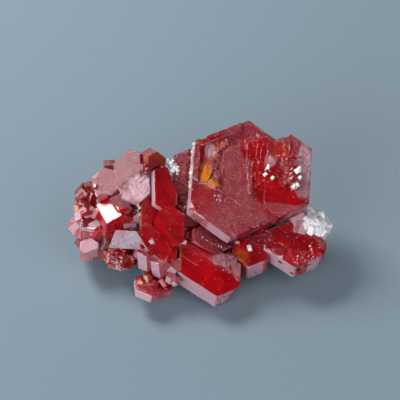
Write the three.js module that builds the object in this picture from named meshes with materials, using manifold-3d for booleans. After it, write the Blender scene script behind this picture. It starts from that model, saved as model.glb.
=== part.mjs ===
// Vanadinite on matrix: a hand specimen about 38 mm long.
// Flat, deep red, six-sided crystals stand in a crowded group on a small piece of pale rock,
// with one white tuft of barite on the right.
//
// Millimetres, +Z up. The origin is the middle of the specimen's box, on the surface it rests on.

import * as THREE from 'three';
import { mergeVertices } from 'three/addons/utils/BufferGeometryUtils.js';
import Module from 'manifold-3d';

const wasm = await Module();
wasm.setup();

// ---- driving dimensions ----

const CREVICE = 0.3; // open gap between neighbouring crystal groups
const ROCK_CENTRE = [0.5, 1.0, 3.3];
const ROCK_REACH = [14.0, 7.4, 5.4]; // half lengths of the rock along X, Y and Z
const ROCK_ROUGHNESS = 0.16; // depth of its lumps, as a part of its reach
const ROCK_DETAIL = 3;
const REST_LEVEL = 0; // the rock is broken off flat here
const BLADE_THICKNESS = 0.9; // barite blades
const BLADE_COUNT = 6;

// ---- small helpers ----

const SIDES = 6;
const FAR = 50; // further out than any crystal reaches
const STEP = (2 * Math.PI) / SIDES;

function toSolid(geometry) {
  geometry.deleteAttribute('normal');
  geometry.deleteAttribute('uv');
  const merged = mergeVertices(geometry, 1e-4);
  return new wasm.Manifold(new wasm.Mesh({
    numProp: 3,
    vertProperties: Float32Array.from(merged.attributes.position.array),
    triVerts: Uint32Array.from(merged.index.array),
  }));
}

function toGeometry(solid) {
  const mesh = solid.getMesh();
  const geometry = new THREE.BufferGeometry();
  geometry.setAttribute('position', new THREE.BufferAttribute(Float32Array.from(mesh.vertProperties), 3));
  geometry.setIndex(new THREE.BufferAttribute(Uint32Array.from(mesh.triVerts), 1));
  geometry.computeVertexNormals();
  return geometry;
}

function join(solids) {
  return solids.reduce((whole, solid) => whole.add(solid));
}

function largestPiece(solid) {
  const pieces = solid.decompose();
  return pieces.reduce((best, piece) => (piece.volume() > best.volume() ? piece : best));
}

// ---- one crystal ----

// The outline that is left when six straight cuts are made at 60 degree steps around the
// crystal's axis, each at its own distance (reach). A cut that lies beyond its neighbours' corner
// leaves no side of its own.
function sixSidedOutline(reach) {
  let corners = [[-FAR, -FAR], [FAR, -FAR], [FAR, FAR], [-FAR, FAR]].map(([x, y]) => new THREE.Vector2(x, y));
  reach.forEach((distance, side) => {
    const outward = new THREE.Vector2(Math.cos(side * STEP), Math.sin(side * STEP));
    corners = corners.flatMap((corner, index) => {
      const next = corners[(index + 1) % corners.length];
      const here = corner.dot(outward) - distance;
      const there = next.dot(outward) - distance;
      const kept = here <= 0 ? [corner] : [];
      if (here * there < 0) {
        kept.push(corner.clone().lerp(next, here / (here - there)));
      }
      return kept;
    });
  });
  return corners;
}

// The turn that takes an upright crystal to its lean: `lean` degrees from upright towards the
// compass direction `toward` (0 is +X, 90 is +Y), after `turn` degrees about its own axis.
function crystalTurn({ lean, toward, turn }) {
  const up = new THREE.Vector3(0, 0, 1);
  const tipAxis = new THREE.Vector3(0, 1, 0).applyAxisAngle(up, THREE.MathUtils.degToRad(toward));
  const tip = new THREE.Quaternion().setFromAxisAngle(tipAxis, THREE.MathUtils.degToRad(lean));
  const spin = new THREE.Quaternion().setFromAxisAngle(up, THREE.MathUtils.degToRad(turn));
  return tip.multiply(spin);
}

// A crystal is a six-sided tablet or prism: `top` is the point on its top face that `reach` is
// measured from, and `depth` is its length down its axis. `grown` makes every face stand that much
// further out, to cut the crevice in a neighbour.
function crystal(size, grown = 0) {
  const outline = new THREE.Shape(sixSidedOutline(size.reach.map((distance) => distance + grown)));
  const geometry = new THREE.ExtrudeGeometry(outline, {
    depth: size.depth + 2 * grown,
    bevelEnabled: false,
  });
  geometry.translate(0, 0, -size.depth - grown);
  geometry.applyQuaternion(crystalTurn(size));
  geometry.translate(...size.top);
  return toSolid(geometry);
}

// A regular prism: all six faces at the same distance from the axis.
function prism({ top, lean, toward, turn, radius, depth }) {
  return { top, lean, toward, turn, reach: Array(SIDES).fill(radius), depth };
}

// ---- the crystal groups ----

// The broad plate's own lean, shared by the layers that grew on it.
const PLATE_LEAN = { lean: 27, toward: -67, turn: -2 };

const broadPlate = [
  { top: [4.4, -0.9, 11.9], ...PLATE_LEAN, reach: [6.5, 11.6, 9.6, 5.8, 5.4, 5.9], depth: 2.7 },
  // the dusty layer that covers most of it
  { top: [4.5, -1.2, 12.5], ...PLATE_LEAN, reach: [6.1, 11.2, 8.2, 3.6, 1.5, 4.5], depth: 1.5 },
  // the raised rim along the left and the upper left side
  { top: [4.4, -1.1, 12.4], ...PLATE_LEAN, reach: [-4.9, 11.0, 9.5, 5.7, 1.2, 5.0], depth: 1.5 },
  { top: [4.4, -1.1, 12.4], ...PLATE_LEAN, reach: [1.0, 11.4, 9.5, 5.7, 3.6, -8.5], depth: 1.5 },
  // the steps that climb towards the right-hand lobe
  { top: [4.6, -1.2, 12.9], ...PLATE_LEAN, reach: [6.0, 10.6, 6.0, -2.6, 1.0, 3.6], depth: 1.5 },
  { top: [4.7, -1.3, 13.3], ...PLATE_LEAN, reach: [6.2, 9.6, 5.0, -3.8, 0.2, 2.6], depth: 1.5 },
  // the right-hand lobe and its highest terrace
  { top: [13.2, 2.2, 13.6], lean: 27, toward: -70, turn: -2, reach: [3.1, 5.1, 5.3, 3.6, 6.9, 5.5], depth: 3.6 },
  { top: [13.2, 2.0, 14.0], lean: 27, toward: -70, turn: -2, reach: [2.4, 4.0, 3.6, 2.8, 3.0, 3.8], depth: 1.5 },
];

const frontSlab = [
  { top: [1.2, -10.3, 4.7], lean: 16, toward: -68, turn: -3, reach: [4.7, 4.6, 6.8, 4.4, 2.0, 3.4], depth: 3.5 },
];

const lowerRightPlates = [
  { top: [7.2, -5.9, 5.5], lean: 14, toward: -95, turn: -7, reach: [2.8, 4.6, 4.6, 2.5, 2.3, 2.5], depth: 3.6 },
  { top: [14.3, -5.8, 6.3], lean: 14, toward: -88, turn: -7, reach: [4.1, 3.2, 4.3, 4.9, 3.2, 2.9], depth: 3.3 },
];

const uprightBlade = [
  { top: [-5.1, 0.4, 12.5], lean: 40, toward: -55, turn: 8, reach: [1.9, 2.6, 2.8, 1.6, 3.2, 3.3], depth: 1.5 },
];

const middleBlades = [
  { top: [-4.4, -5.0, 9.2], lean: 40, toward: -62, turn: 5, reach: [2.3, 3.0, 3.0, 2.4, 1.9, 2.7], depth: 2.2 },
  { top: [-7.6, -1.9, 9.5], lean: 38, toward: -60, turn: 6, reach: [1.5, 2.2, 1.8, 1.0, 4.0, 4.0], depth: 2.4 },
  { top: [-6.1, -6.8, 7.4], lean: 22, toward: -25, turn: 0, reach: [3.4, 4.3, 3.8, 3.0, 2.5, 3.2], depth: 3.6 },
  { top: [-4.0, -8.6, 4.9], lean: 20, toward: -50, turn: 4, reach: [0.9, 1.6, 1.6, 0.6, 0.7, 1.2], depth: 2.4 },
];

const backPlate = [
  { top: [-2.1, 3.0, 11.6], lean: 32, toward: -75, turn: 0, reach: [2.6, 4.2, 3.8, 1.9, 3.3, 3.6], depth: 1.8 },
];

const palePlates = [
  { top: [-9.5, 2.1, 12.8], lean: 30, toward: -100, turn: 12, reach: [2.6, 3.8, 3.8, 2.8, 3.8, 3.4], depth: 1.8 },
  { top: [-14.0, 2.1, 12.1], lean: 30, toward: -100, turn: 12, reach: [3.0, 1.8, 1.7, 1.9, 1.9, 2.4], depth: 1.6 },
];

const brownBarrel = [
  { top: [-6.4, 2.9, 14.3], lean: 60, toward: -65, turn: 4, reach: [1.5, 1.7, 1.8, 1.5, 2.0, 0.9], depth: 3.2 },
];

const brightBlock = [
  prism({ top: [-11.8, -3.2, 7.2], lean: 90, toward: -66, turn: 133, radius: 2.3, depth: 4.6 }),
  prism({ top: [-11.2, -2.0, 9.0], lean: 90, toward: -66, turn: 118, radius: 1.1, depth: 3.8 }),
];

const leftEndCrystals = [
  prism({ top: [-15.8, -0.6, 7.2], lean: 12, toward: -150, turn: 8, radius: 2.3, depth: 4.4 }),
  prism({ top: [-17.5, 1.6, 9.8], lean: 30, toward: 160, turn: 5, radius: 1.0, depth: 3.8 }),
  prism({ top: [-16.6, -1.2, 7.8], lean: 78, toward: -70, turn: 135, radius: 0.9, depth: 2.6 }),
  prism({ top: [-17.0, -2.0, 6.4], lean: 84, toward: -115, turn: 96, radius: 1.1, depth: 3.0 }),
  prism({ top: [-16.9, -2.0, 6.5], lean: 70, toward: -48, turn: 150, radius: 0.8, depth: 2.8 }),
  prism({ top: [-14.9, -2.9, 5.6], lean: 80, toward: -30, turn: 120, radius: 1.0, depth: 3.4 }),
];

const lowerLeftBlock = [
  { top: [-16.4, -5.2, 5.7], lean: 20, toward: -79, turn: -5, reach: [1.5, 1.3, 1.1, 1.2, 1.2, 0.9], depth: 3.8 },
  { top: [-15.2, -3.4, 4.6], lean: 48, toward: -128, turn: 20, reach: [1.4, 1.2, 1.3, 1.4, 1.2, 1.2], depth: 3.2 },
];

const lilacWedge = [
  { top: [-9.9, -5.9, 7.5], lean: 55, toward: -115, turn: 28, reach: [1.6, 1.3, 2.2, 1.9, 1.3, 2.8], depth: 3.0 },
];

const footCrystal = [
  { top: [-6.8, -11.0, 3.4], lean: 15, toward: 43, turn: 6, reach: [2.9, 3.5, 2.7, 2.5, 2.2, 1.8], depth: 1.4 },
  { top: [-6.6, -8.4, 3.6], lean: 34, toward: -120, turn: 12, reach: [2.0, 1.8, 2.2, 1.8, 1.5, 1.9], depth: 2.6 },
];

const tuckedCrystal = [
  { top: [1.2, -5.2, 6.9], lean: 30, toward: -60, turn: 3, reach: [3.0, 3.1, 2.5, 2.3, 1.4, 2.4], depth: 2.4 },
];

const fringeCrystals = [
  prism({ top: [-12.1, -5.2, 4.6], lean: 24, toward: -140, turn: 0, radius: 1.3, depth: 3.0 }),
  prism({ top: [-10.8, -6.6, 3.8], lean: 42, toward: -75, turn: 20, radius: 1.1, depth: 3.0 }),
  prism({ top: [-13.2, -5.4, 3.3], lean: 55, toward: -125, turn: 35, radius: 1.1, depth: 3.0 }),
  prism({ top: [-11.9, -6.1, 2.9], lean: 64, toward: -100, turn: 10, radius: 1.2, depth: 3.2 }),
];

const rearPlates = [
  { top: [2.0, 6.6, 9.0], lean: 62, toward: 80, turn: 12, reach: [4.2, 3.6, 4.0, 4.4, 3.8, 3.2], depth: 2.2 },
  { top: [-5.2, 6.2, 8.6], lean: 48, toward: 118, turn: 30, reach: [3.4, 2.6, 3.2, 2.8, 3.0, 2.6], depth: 2.0 },
  { top: [9.2, 5.6, 7.2], lean: 55, toward: 62, turn: 20, reach: [3.0, 3.4, 2.8, 3.6, 2.6, 3.0], depth: 2.4 },
];

const rearLeftPrisms = [
  prism({ top: [-12.4, 5.2, 7.0], lean: 60, toward: 140, turn: 25, radius: 1.7, depth: 4.6 }),
  prism({ top: [-9.6, 6.6, 5.2], lean: 74, toward: 112, turn: 8, radius: 1.5, depth: 4.8 }),
];

const rearRightPrisms = [
  prism({ top: [14.4, 2.9, 6.6], lean: 62, toward: 35, turn: 12, radius: 1.6, depth: 4.6 }),
  prism({ top: [13.2, 4.4, 4.4], lean: 74, toward: 66, turn: 30, radius: 1.4, depth: 4.4 }),
];

const rearFootPrisms = [
  prism({ top: [4.2, 8.6, 4.4], lean: 76, toward: 96, turn: 5, radius: 1.5, depth: 4.2 }),
  prism({ top: [1.2, 8.8, 3.2], lean: 80, toward: 112, turn: 20, radius: 1.3, depth: 4.4 }),
];

// ---- the barite tuft ----

const TUFT_ROOT = [16.9, -1.7, 6.0];

// The barite is a sheaf of thin six-cornered tablets that stand on one root and fan out from it.
function bariteTuft() {
  return Array.from({ length: BLADE_COUNT }, (_, place) => ({
    top: TUFT_ROOT,
    lean: 90,
    toward: (place * 180) / BLADE_COUNT,
    turn: 90,
    reach: [2.8, 2.1, 2.1, 2.8, 2.1, 2.1],
    depth: BLADE_THICKNESS,
  }));
}

// ---- the rock ----

// A smooth wave of position, always the same, that gives the rock its lumps.
function lumpiness(direction) {
  const { x, y, z } = direction;
  return (Math.sin(5.1 * x + 2.3 * y) + Math.sin(4.3 * y - 3.7 * z + 1.1) + Math.sin(6.2 * z + 2.9 * x)) / 3;
}

function rock() {
  const geometry = new THREE.IcosahedronGeometry(1, ROCK_DETAIL);
  const corner = new THREE.Vector3();
  const places = geometry.attributes.position;
  for (let index = 0; index < places.count; index += 1) {
    corner.fromBufferAttribute(places, index).normalize();
    corner.multiplyScalar(1 + ROCK_ROUGHNESS * lumpiness(corner));
    corner.multiply(new THREE.Vector3(...ROCK_REACH)).add(new THREE.Vector3(...ROCK_CENTRE));
    places.setXYZ(index, corner.x, corner.y, corner.z);
  }
  const above = new THREE.BoxGeometry(60, 60, 40).translate(0, 0, REST_LEVEL + 20);
  return toSolid(geometry).intersect(toSolid(above));
}

// ---- putting the specimen together ----

const VANADINITE = { color: 0x9c1420, roughness: 0.18, metalness: 0 };
const PALE_VANADINITE = { color: 0xb98088, roughness: 0.3, metalness: 0 };
const BROWN_VANADINITE = { color: 0x8a3114, roughness: 0.25, metalness: 0 };
const BARITE = { color: 0xf0eff0, roughness: 0.15, metalness: 0 };
const ROCK = { color: 0xb9a489, roughness: 0.9, metalness: 0 };

const GROUPS = [
  ['broad_plate', broadPlate, VANADINITE],
  ['front_slab', frontSlab, VANADINITE],
  ['lower_right_plates', lowerRightPlates, VANADINITE],
  ['upright_blade', uprightBlade, VANADINITE],
  ['lilac_wedge', lilacWedge, PALE_VANADINITE],
  ['middle_blades', middleBlades, VANADINITE],
  ['brown_barrel', brownBarrel, BROWN_VANADINITE],
  ['bright_block', brightBlock, VANADINITE],
  ['foot_crystal', footCrystal, VANADINITE],
  ['left_end_crystals', leftEndCrystals, PALE_VANADINITE],
  ['lower_left_block', lowerLeftBlock, PALE_VANADINITE],
  ['tucked_crystal', tuckedCrystal, VANADINITE],
  ['pale_plates', palePlates, PALE_VANADINITE],
  ['back_plate', backPlate, PALE_VANADINITE],
  ['barite_tuft', bariteTuft(), BARITE],
  ['fringe_crystals', fringeCrystals, VANADINITE],
  ['rear_plates', rearPlates, VANADINITE],
  ['rear_left_prisms', rearLeftPrisms, VANADINITE],
  ['rear_right_prisms', rearRightPrisms, VANADINITE],
  ['rear_foot_prisms', rearFootPrisms, VANADINITE],
];

// Each group is joined into one solid. Where a group meets one that stands before it in the list,
// it stops a crevice's width short.
function specimenSolids() {
  const solids = [];
  const spaceTaken = [];
  for (const [name, crystals, finish] of GROUPS) {
    const whole = join(crystals.map((size) => crystal(size)));
    const free = spaceTaken.reduce((left, space) => left.subtract(space), whole);
    solids.push({ name, solid: largestPiece(free), finish });
    spaceTaken.push(join(crystals.map((size) => crystal(size, CREVICE))));
  }
  const rockSolid = spaceTaken.reduce((left, space) => left.subtract(space), rock());
  solids.push({ name: 'matrix', solid: largestPiece(rockSolid), finish: ROCK });
  return solids;
}

const specimen = new THREE.Group();
for (const { name, solid, finish } of specimenSolids()) {
  const mesh = new THREE.Mesh(toGeometry(solid), new THREE.MeshStandardMaterial(finish));
  mesh.name = name;
  specimen.add(mesh);
}

// The origin goes to the middle of the specimen's box, at the level it rests on.
const box = new THREE.Box3().setFromObject(specimen);
const middle = box.getCenter(new THREE.Vector3());
specimen.position.set(-middle.x, -middle.y, -REST_LEVEL);

export default specimen;
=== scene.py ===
"""Vanadinite on matrix: the finished look of the specimen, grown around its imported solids."""

import math
import random

import bpy
import numpy as np
from mathutils import Matrix, Vector
from mathutils.bvhtree import BVHTree


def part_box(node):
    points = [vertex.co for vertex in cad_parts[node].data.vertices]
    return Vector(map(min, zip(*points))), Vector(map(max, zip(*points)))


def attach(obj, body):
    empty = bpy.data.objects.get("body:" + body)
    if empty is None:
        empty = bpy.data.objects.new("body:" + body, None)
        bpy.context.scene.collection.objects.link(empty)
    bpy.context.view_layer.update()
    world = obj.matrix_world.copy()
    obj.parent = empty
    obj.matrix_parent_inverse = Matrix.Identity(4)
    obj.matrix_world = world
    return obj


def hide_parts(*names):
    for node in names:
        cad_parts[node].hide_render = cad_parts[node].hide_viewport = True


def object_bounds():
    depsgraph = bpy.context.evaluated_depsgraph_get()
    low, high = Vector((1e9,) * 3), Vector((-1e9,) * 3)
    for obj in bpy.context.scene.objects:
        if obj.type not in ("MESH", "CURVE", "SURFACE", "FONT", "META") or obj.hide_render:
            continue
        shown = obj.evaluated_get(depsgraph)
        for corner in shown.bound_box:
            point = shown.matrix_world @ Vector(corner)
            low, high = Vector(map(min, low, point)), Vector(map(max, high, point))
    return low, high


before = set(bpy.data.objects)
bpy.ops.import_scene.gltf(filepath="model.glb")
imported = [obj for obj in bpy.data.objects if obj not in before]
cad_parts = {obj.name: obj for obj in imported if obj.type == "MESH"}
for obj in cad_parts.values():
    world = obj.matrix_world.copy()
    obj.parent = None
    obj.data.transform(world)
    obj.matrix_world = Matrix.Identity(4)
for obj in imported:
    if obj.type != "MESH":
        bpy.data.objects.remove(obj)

bl_info = {
    "name": "Vanadinite on matrix",
    "version": (1, 0, 0),
    "blender": (4, 5, 0),
    "location": "3D View > Sidebar > Specimen",
    "description": "Finishes a crystal group: tablets, druse, barite, rock and studio",
    "category": "Add Mesh",
}

MM = 0.001
CUBIC_MM = MM ** 3
SIX = 6
CAD_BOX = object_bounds()

WELD = 0.002 * MM            # vertices nearer than this are one
FLAT = math.radians(0.4)     # faces that meet at less than this are one
SMALL_MESH = 0.25 * MM       # longest edge on the small crystals
SMALL_RIPPLE = 0.03 * MM
RIM_GAP = 0.15 * MM          # a growth layer stays this far inside the face that it grows on
LEAST_REACH = 0.2 * MM       # a growth layer narrower than this is left out
LAYER_ROOT = 0.3 * MM        # how deep a growth layer reaches into its crystal
RISER = 0.45 * MM            # the film and its painted sheen start within this depth below a top face
GRAIN_HUES = 97              # how many shades the grains of a druse have

GLINT = (21.1, -158.0)  # lean and bearing of a face that mirrors the key lamp to the front
SHEEN_SIDE = Vector((-0.55, -0.80, -0.10)).normalized()  # faces that look this way, towards the front lamp, carry the film thickest and a painted pale reflection of that lamp and the floor

PLATE_TURN = -4.3  # turn of the broad plate's sides on its own face, in degrees
LOBE_STANCE = (27, -70, -2)  # lean, bearing and turn of the broad plate's right-hand lobe
LOBE_TOP = (5.8, -0.05, 1.1)  # middle of the lobe's top, on the plate's face

CAMERA_TARGET = Vector((0, 1.09, 1.52)) * MM  # from the middle of the CAD box
CAMERA_WAY = Vector((0, -1, 1))
CAMERA_REACH = 0.2206
CAMERA_LENS = 135.0
CAMERA_SENSOR = 36.0
CAMERA_NEAR = 0.005
LAMPS = {  # way from the specimen, distance, width, power and tint
    "key": ((-0.50, 0.50, 0.70), 0.35, 0.15, 1.08, (1.0, 0.98, 0.96)),
    "front": ((-0.60, -0.72, 0.20), 0.42, 0.42, 1.6, (0.94, 0.95, 1.0)),
    "fill": ((0.62, -0.40, 0.62), 0.45, 0.50, 0.72, (1.0, 0.98, 0.97)),
}


# ---------------------------------------------------------------------------
# sizes and colours that a user would change
# ---------------------------------------------------------------------------

class SpecimenSizes(bpy.types.PropertyGroup):
    """How crisp, stepped and grainy the specimen is."""

    edge_round: bpy.props.FloatProperty(
        name="Edge rounding", description="How wide the worn edges of the crystals are",
        default=0.09 * MM, min=0.0, subtype="DISTANCE", unit="LENGTH")
    step_height: bpy.props.FloatProperty(
        name="Growth step", description="Height of the thin layers on the crystals' top faces",
        default=0.09 * MM, min=0.0, subtype="DISTANCE", unit="LENGTH")
    ripple: bpy.props.FloatProperty(
        name="Ripple", description="Depth of the fine unevenness of every crystal face",
        default=0.05 * MM, min=0.0, subtype="DISTANCE", unit="LENGTH")
    mesh_edge: bpy.props.FloatProperty(
        name="Mesh edge", description="Longest edge of the crystals' finished meshes",
        default=0.42 * MM, min=0.1 * MM, subtype="DISTANCE", unit="LENGTH")
    floor_size: bpy.props.FloatProperty(
        name="Floor", description="Width of the studio floor",
        default=1.6, min=0.1, subtype="DISTANCE", unit="LENGTH")


def colour(label, told, value):
    return bpy.props.FloatVectorProperty(
        name=label, description=told, default=value, size=4, min=0.0, max=1.0, subtype="COLOR")


class SpecimenColours(bpy.types.PropertyGroup):
    """The colours of the finishes, as linear values."""

    deep_red: colour("Deep red", "Vanadinite where it is thick", (0.35, 0.001, 0.005, 1))
    bright_red: colour("Bright red", "Vanadinite where light gets through", (0.60, 0.002, 0.008, 1))
    # this colour is both the dusty film on the prism faces and the painted pale reflection on the faces
    # towards the front lamp
    bloom: colour("Bloom", "Dusty film on the prism faces", (0.72, 0.43, 0.50, 1))
    dust: colour("Dust", "Dull film on the top faces", (0.37, 0.014, 0.034, 1))
    chalk: colour("Chalk", "Thick pale film on the oldest faces", (0.385, 0.225, 0.235, 1))
    lilac: colour("Lilac", "Smooth bluish film on the palest faces", (0.36, 0.31, 0.38, 1))
    amber: colour("Amber", "Thin broken edges that light shines through", (0.80, 0.26, 0.012, 1))
    brown: colour("Brown", "Old iron-stained crystals", (0.20, 0.008, 0.004, 1))
    barite: colour("Barite", "White splintery tuft", (0.95, 0.94, 0.95, 1))
    barite_shade: colour("Barite, shade", "Duller parts of the tuft", (0.88, 0.82, 0.84, 1))
    crumb_light: colour("Crumb, light", "Cream crumbs, light parts", (0.92, 0.82, 0.72, 1))
    crumb_dark: colour("Crumb, dark", "Cream crumbs, dark parts", (0.66, 0.50, 0.40, 1))
    rock_light: colour("Rock, light", "Cream parts of the rock", (0.52, 0.38, 0.24, 1))
    rock_dark: colour("Rock, dark", "Rusty parts of the rock", (0.12, 0.030, 0.018, 1))
    # painted shade: the rock's colour in the crevices between the crystals
    crevice_shade: colour("Crevice shade", "Rock in the crevices between the crystals", (0.075, 0.003, 0.006, 1))
    floor: colour("Floor", "Studio floor", (0.235, 0.31, 0.37, 1))


def sizes():
    return bpy.context.scene.specimen_sizes


def colours():
    return bpy.context.scene.specimen_colours


# ---------------------------------------------------------------------------
# working on one piece
# ---------------------------------------------------------------------------

def only(*pieces):
    """Leaves nothing selected but these pieces; the first is the active one."""
    if bpy.context.mode != "OBJECT":
        bpy.ops.object.mode_set(mode="OBJECT")
    bpy.ops.object.select_all(action="DESELECT")
    for piece in pieces:
        piece.select_set(True)
    bpy.context.view_layer.objects.active = pieces[0]
    return pieces[0]


def edit(piece, mode="FACE"):
    """Opens a piece in edit mode with all of it selected."""
    only(piece)
    bpy.ops.object.mode_set(mode="EDIT")
    bpy.ops.mesh.select_mode(type=mode)
    bpy.ops.mesh.select_all(action="SELECT")


def done():
    """Leaves edit mode."""
    bpy.ops.object.mode_set(mode="OBJECT")


def use_modifier(piece, kind, **settings):
    """Adds one modifier with its settings and applies it."""
    only(piece)
    modifier = piece.modifiers.new(kind.title(), kind)
    for name, value in settings.items():
        setattr(modifier, name, value)
    bpy.ops.object.modifier_apply(modifier=modifier.name)


def settle(piece, name):
    """Puts a piece's place into its mesh and gives it its name."""
    only(piece)
    bpy.ops.object.transform_apply(location=True, rotation=True, scale=True)
    piece.name = name
    piece.data.name = name
    return piece


def joined(pieces, name):
    """Several objects as one piece."""
    only(*pieces)
    if len(pieces) > 1:
        bpy.ops.object.join()
    return settle(bpy.context.object, name)


def merged_copy(node, name):
    """A copy of a CAD node's solid, its loose triangles merged into whole flat faces."""
    piece = bpy.data.objects.new(name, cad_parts[node].data.copy())
    bpy.context.scene.collection.objects.link(piece)
    piece.data.materials.clear()
    edit(piece, "VERT")
    bpy.ops.mesh.remove_doubles(threshold=WELD)
    bpy.ops.mesh.dissolve_limited(angle_limit=FLAT)
    done()
    return piece


# ---------------------------------------------------------------------------
# a crystal's own directions
# ---------------------------------------------------------------------------

class Seat:
    """The broadest flat face of a piece that looks up, and the directions along it.

    Places on it are given in millimetres: `across` runs along the specimen, `along` away from
    the front, and `out` is the height above the face."""

    def __init__(self, piece, node):
        faces = [face for face in piece.data.polygons if face.normal.z > 0.3]
        broadest = max(faces, key=lambda face: face.area)
        low, high = (Vector(corner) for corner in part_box(node))
        middle = (low + high) / 2
        self.out = broadest.normal.copy()
        drop = (broadest.center - middle).dot(self.out) / self.out.z
        self.middle = middle + Vector((0, 0, drop))
        self.across = (Vector((1, 0, 0)) - self.out * self.out.x).normalized()
        self.along = self.out.cross(self.across)
        self.corners = [piece.data.vertices[index].co.copy() for index in broadest.vertices]
        self.side = self.side_direction()

    def side_direction(self):
        """The outward direction of the face's longest side."""
        best, longest = self.across, 0.0
        for index, corner in enumerate(self.corners):
            edge = self.corners[(index + 1) % len(self.corners)] - corner
            if edge.length > longest:
                longest = edge.length
                best = edge.cross(self.out).normalized()
        return best

    def at(self, across, along, out=0.0):
        return self.middle + (self.across * across + self.along * along + self.out * out) * MM

    def room(self, place, outward):
        """How far the face still goes from a place in one direction."""
        return max((corner - place).dot(outward) for corner in self.corners)


def seat_of_node(node):
    """The seat of a CAD node, read from a passing copy of its solid."""
    piece = merged_copy(node, "seat_only")
    seat = Seat(piece, node)
    bpy.data.objects.remove(piece)
    return seat


def spot(across, back, up):
    """A place in millimetres from the middle of the foot of the CAD box."""
    low, high = (Vector(corner) for corner in CAD_BOX)
    return Vector(((low.x + high.x) / 2, (low.y + high.y) / 2, low.z)) + Vector((across, back, up)) * MM


def turned(axis, side):
    """The rotation that stands +Z on axis and +X on side."""
    axis = axis.normalized()
    side = (side - axis * side.dot(axis)).normalized()
    return Matrix((side, axis.cross(side), axis)).transposed()


def stance(lean, toward, turn):
    """The axis and the first side of a crystal that leans over towards a bearing, in degrees."""
    bearing = math.radians(toward)
    hinge = Vector((-math.sin(bearing), math.cos(bearing), 0))
    tip = Matrix.Rotation(math.radians(lean), 3, hinge)
    side = Matrix.Rotation(math.radians(turn), 3, "Z") @ Vector((1, 0, 0))
    return tip @ Vector((0, 0, 1)), tip @ side


def tilted(axis, toward, degrees):
    """An axis leaned over towards a direction."""
    hinge = axis.cross(toward).normalized()
    return Matrix.Rotation(math.radians(degrees), 3, hinge) @ axis


def crystal(place, axis, side, reach, depth):
    """A six-sided crystal: a block cut down by one plane for each of its faces.

    place is on its top face; reach gives the distances of its six sides from there."""
    turn = turned(axis, side)
    half = 2.4 * max(max(abs(distance) for distance in reach), depth)  # with room to spare
    bpy.ops.mesh.primitive_cube_add(size=2 * half, location=place, rotation=turn.to_euler())
    piece = bpy.context.object
    edit(piece)
    cuts = [(place, turn.col[2]), (place - turn.col[2] * depth, -turn.col[2])]
    for number, distance in enumerate(reach):
        angle = math.tau * number / SIX
        outward = turn.col[0] * math.cos(angle) + turn.col[1] * math.sin(angle)
        cuts.append((place + outward * distance, outward))
    for point, outward in cuts:
        bpy.ops.mesh.select_all(action="SELECT")
        bpy.ops.mesh.bisect(plane_co=point, plane_no=outward, use_fill=True, clear_outer=True)
    done()
    return settle(piece, "crystal")


# ---------------------------------------------------------------------------
# growth, wear and paint
# ---------------------------------------------------------------------------

def growth_layers(piece, seat, count, seed, widest, height=None):
    """Grows thin six-sided layers on a face, their sides parallel to the crystal's own."""
    chance = random.Random(seed)
    height = height or sizes().step_height
    layers = []
    across = [(corner - seat.middle).dot(seat.across) for corner in seat.corners]
    along = [(corner - seat.middle).dot(seat.along) for corner in seat.corners]
    for _ in range(count):
        place = (seat.middle + seat.across * chance.uniform(min(across), max(across)) * 0.8
                 + seat.along * chance.uniform(min(along), max(along)) * 0.8)
        reach = []
        for number in range(SIX):
            outward = Matrix.Rotation(math.tau * number / SIX, 3, seat.out) @ seat.side
            wanted = chance.uniform(0.25, 1.0) * widest
            reach.append(min(wanted, seat.room(place, outward) - RIM_GAP))
        if min(reach) < LEAST_REACH:
            continue
        lift = height * chance.uniform(0.3, 1.6)
        layers.append(crystal(place + seat.out * lift, seat.out, seat.side, reach, lift + LAYER_ROOT))
    for layer in layers:
        round_edges(layer, 0.5 * height)
        add_solid(piece, layer)


def volume(piece):
    """The space inside a closed mesh."""
    mesh = piece.data
    mesh.calc_loop_triangles()
    spots = [vertex.co for vertex in mesh.vertices]
    return sum(spots[one].dot(spots[two].cross(spots[three])) / 6
               for one, two, three in (face.vertices for face in mesh.loop_triangles))


def add_solid(piece, extra, operation="UNION"):
    """Joins an overlapping solid into a piece, or cuts it out.

    The change in volume shows whether that went well; if it didn't, the piece stays as it was."""
    kept = piece.data.copy()
    before = volume(piece)
    own = volume(extra)
    use_modifier(piece, "BOOLEAN", object=extra, operation=operation, solver="EXACT")
    change = volume(piece) - before
    limits = (-0.01 * before, 1.02 * own) if operation == "UNION" else (-1.02 * own, 1e-14)
    if limits[0] < change < limits[1]:
        bpy.data.meshes.remove(kept)
    else:
        print("not joined:", piece.name, round(before / CUBIC_MM, 2), round(change / CUBIC_MM, 2))
        piece.data = kept
    bpy.data.objects.remove(extra)


def trim(piece, place, outward):
    """Cuts off everything on the outward side of a plane."""
    edit(piece)
    bpy.ops.mesh.bisect(plane_co=place, plane_no=outward, use_fill=True, clear_outer=True)
    done()


def trim_on(piece, seat, cuts):
    """Trims a piece by planes that stand on its seat.

    Each cut is the (across, along) of a point on it, then that of its outward way."""
    for across, along, out_across, out_along in cuts:
        outward = (seat.across * out_across + seat.along * out_along - seat.out * 0.12).normalized()
        trim(piece, seat.at(across, along), outward)


def round_edges(piece, width=None, steps=2):
    """Rounds every sharp edge of a piece."""
    use_modifier(piece, "BEVEL", width=width or sizes().edge_round, segments=steps,
                 limit_method="ANGLE", angle_limit=math.radians(18), use_clamp_overlap=False)


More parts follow.
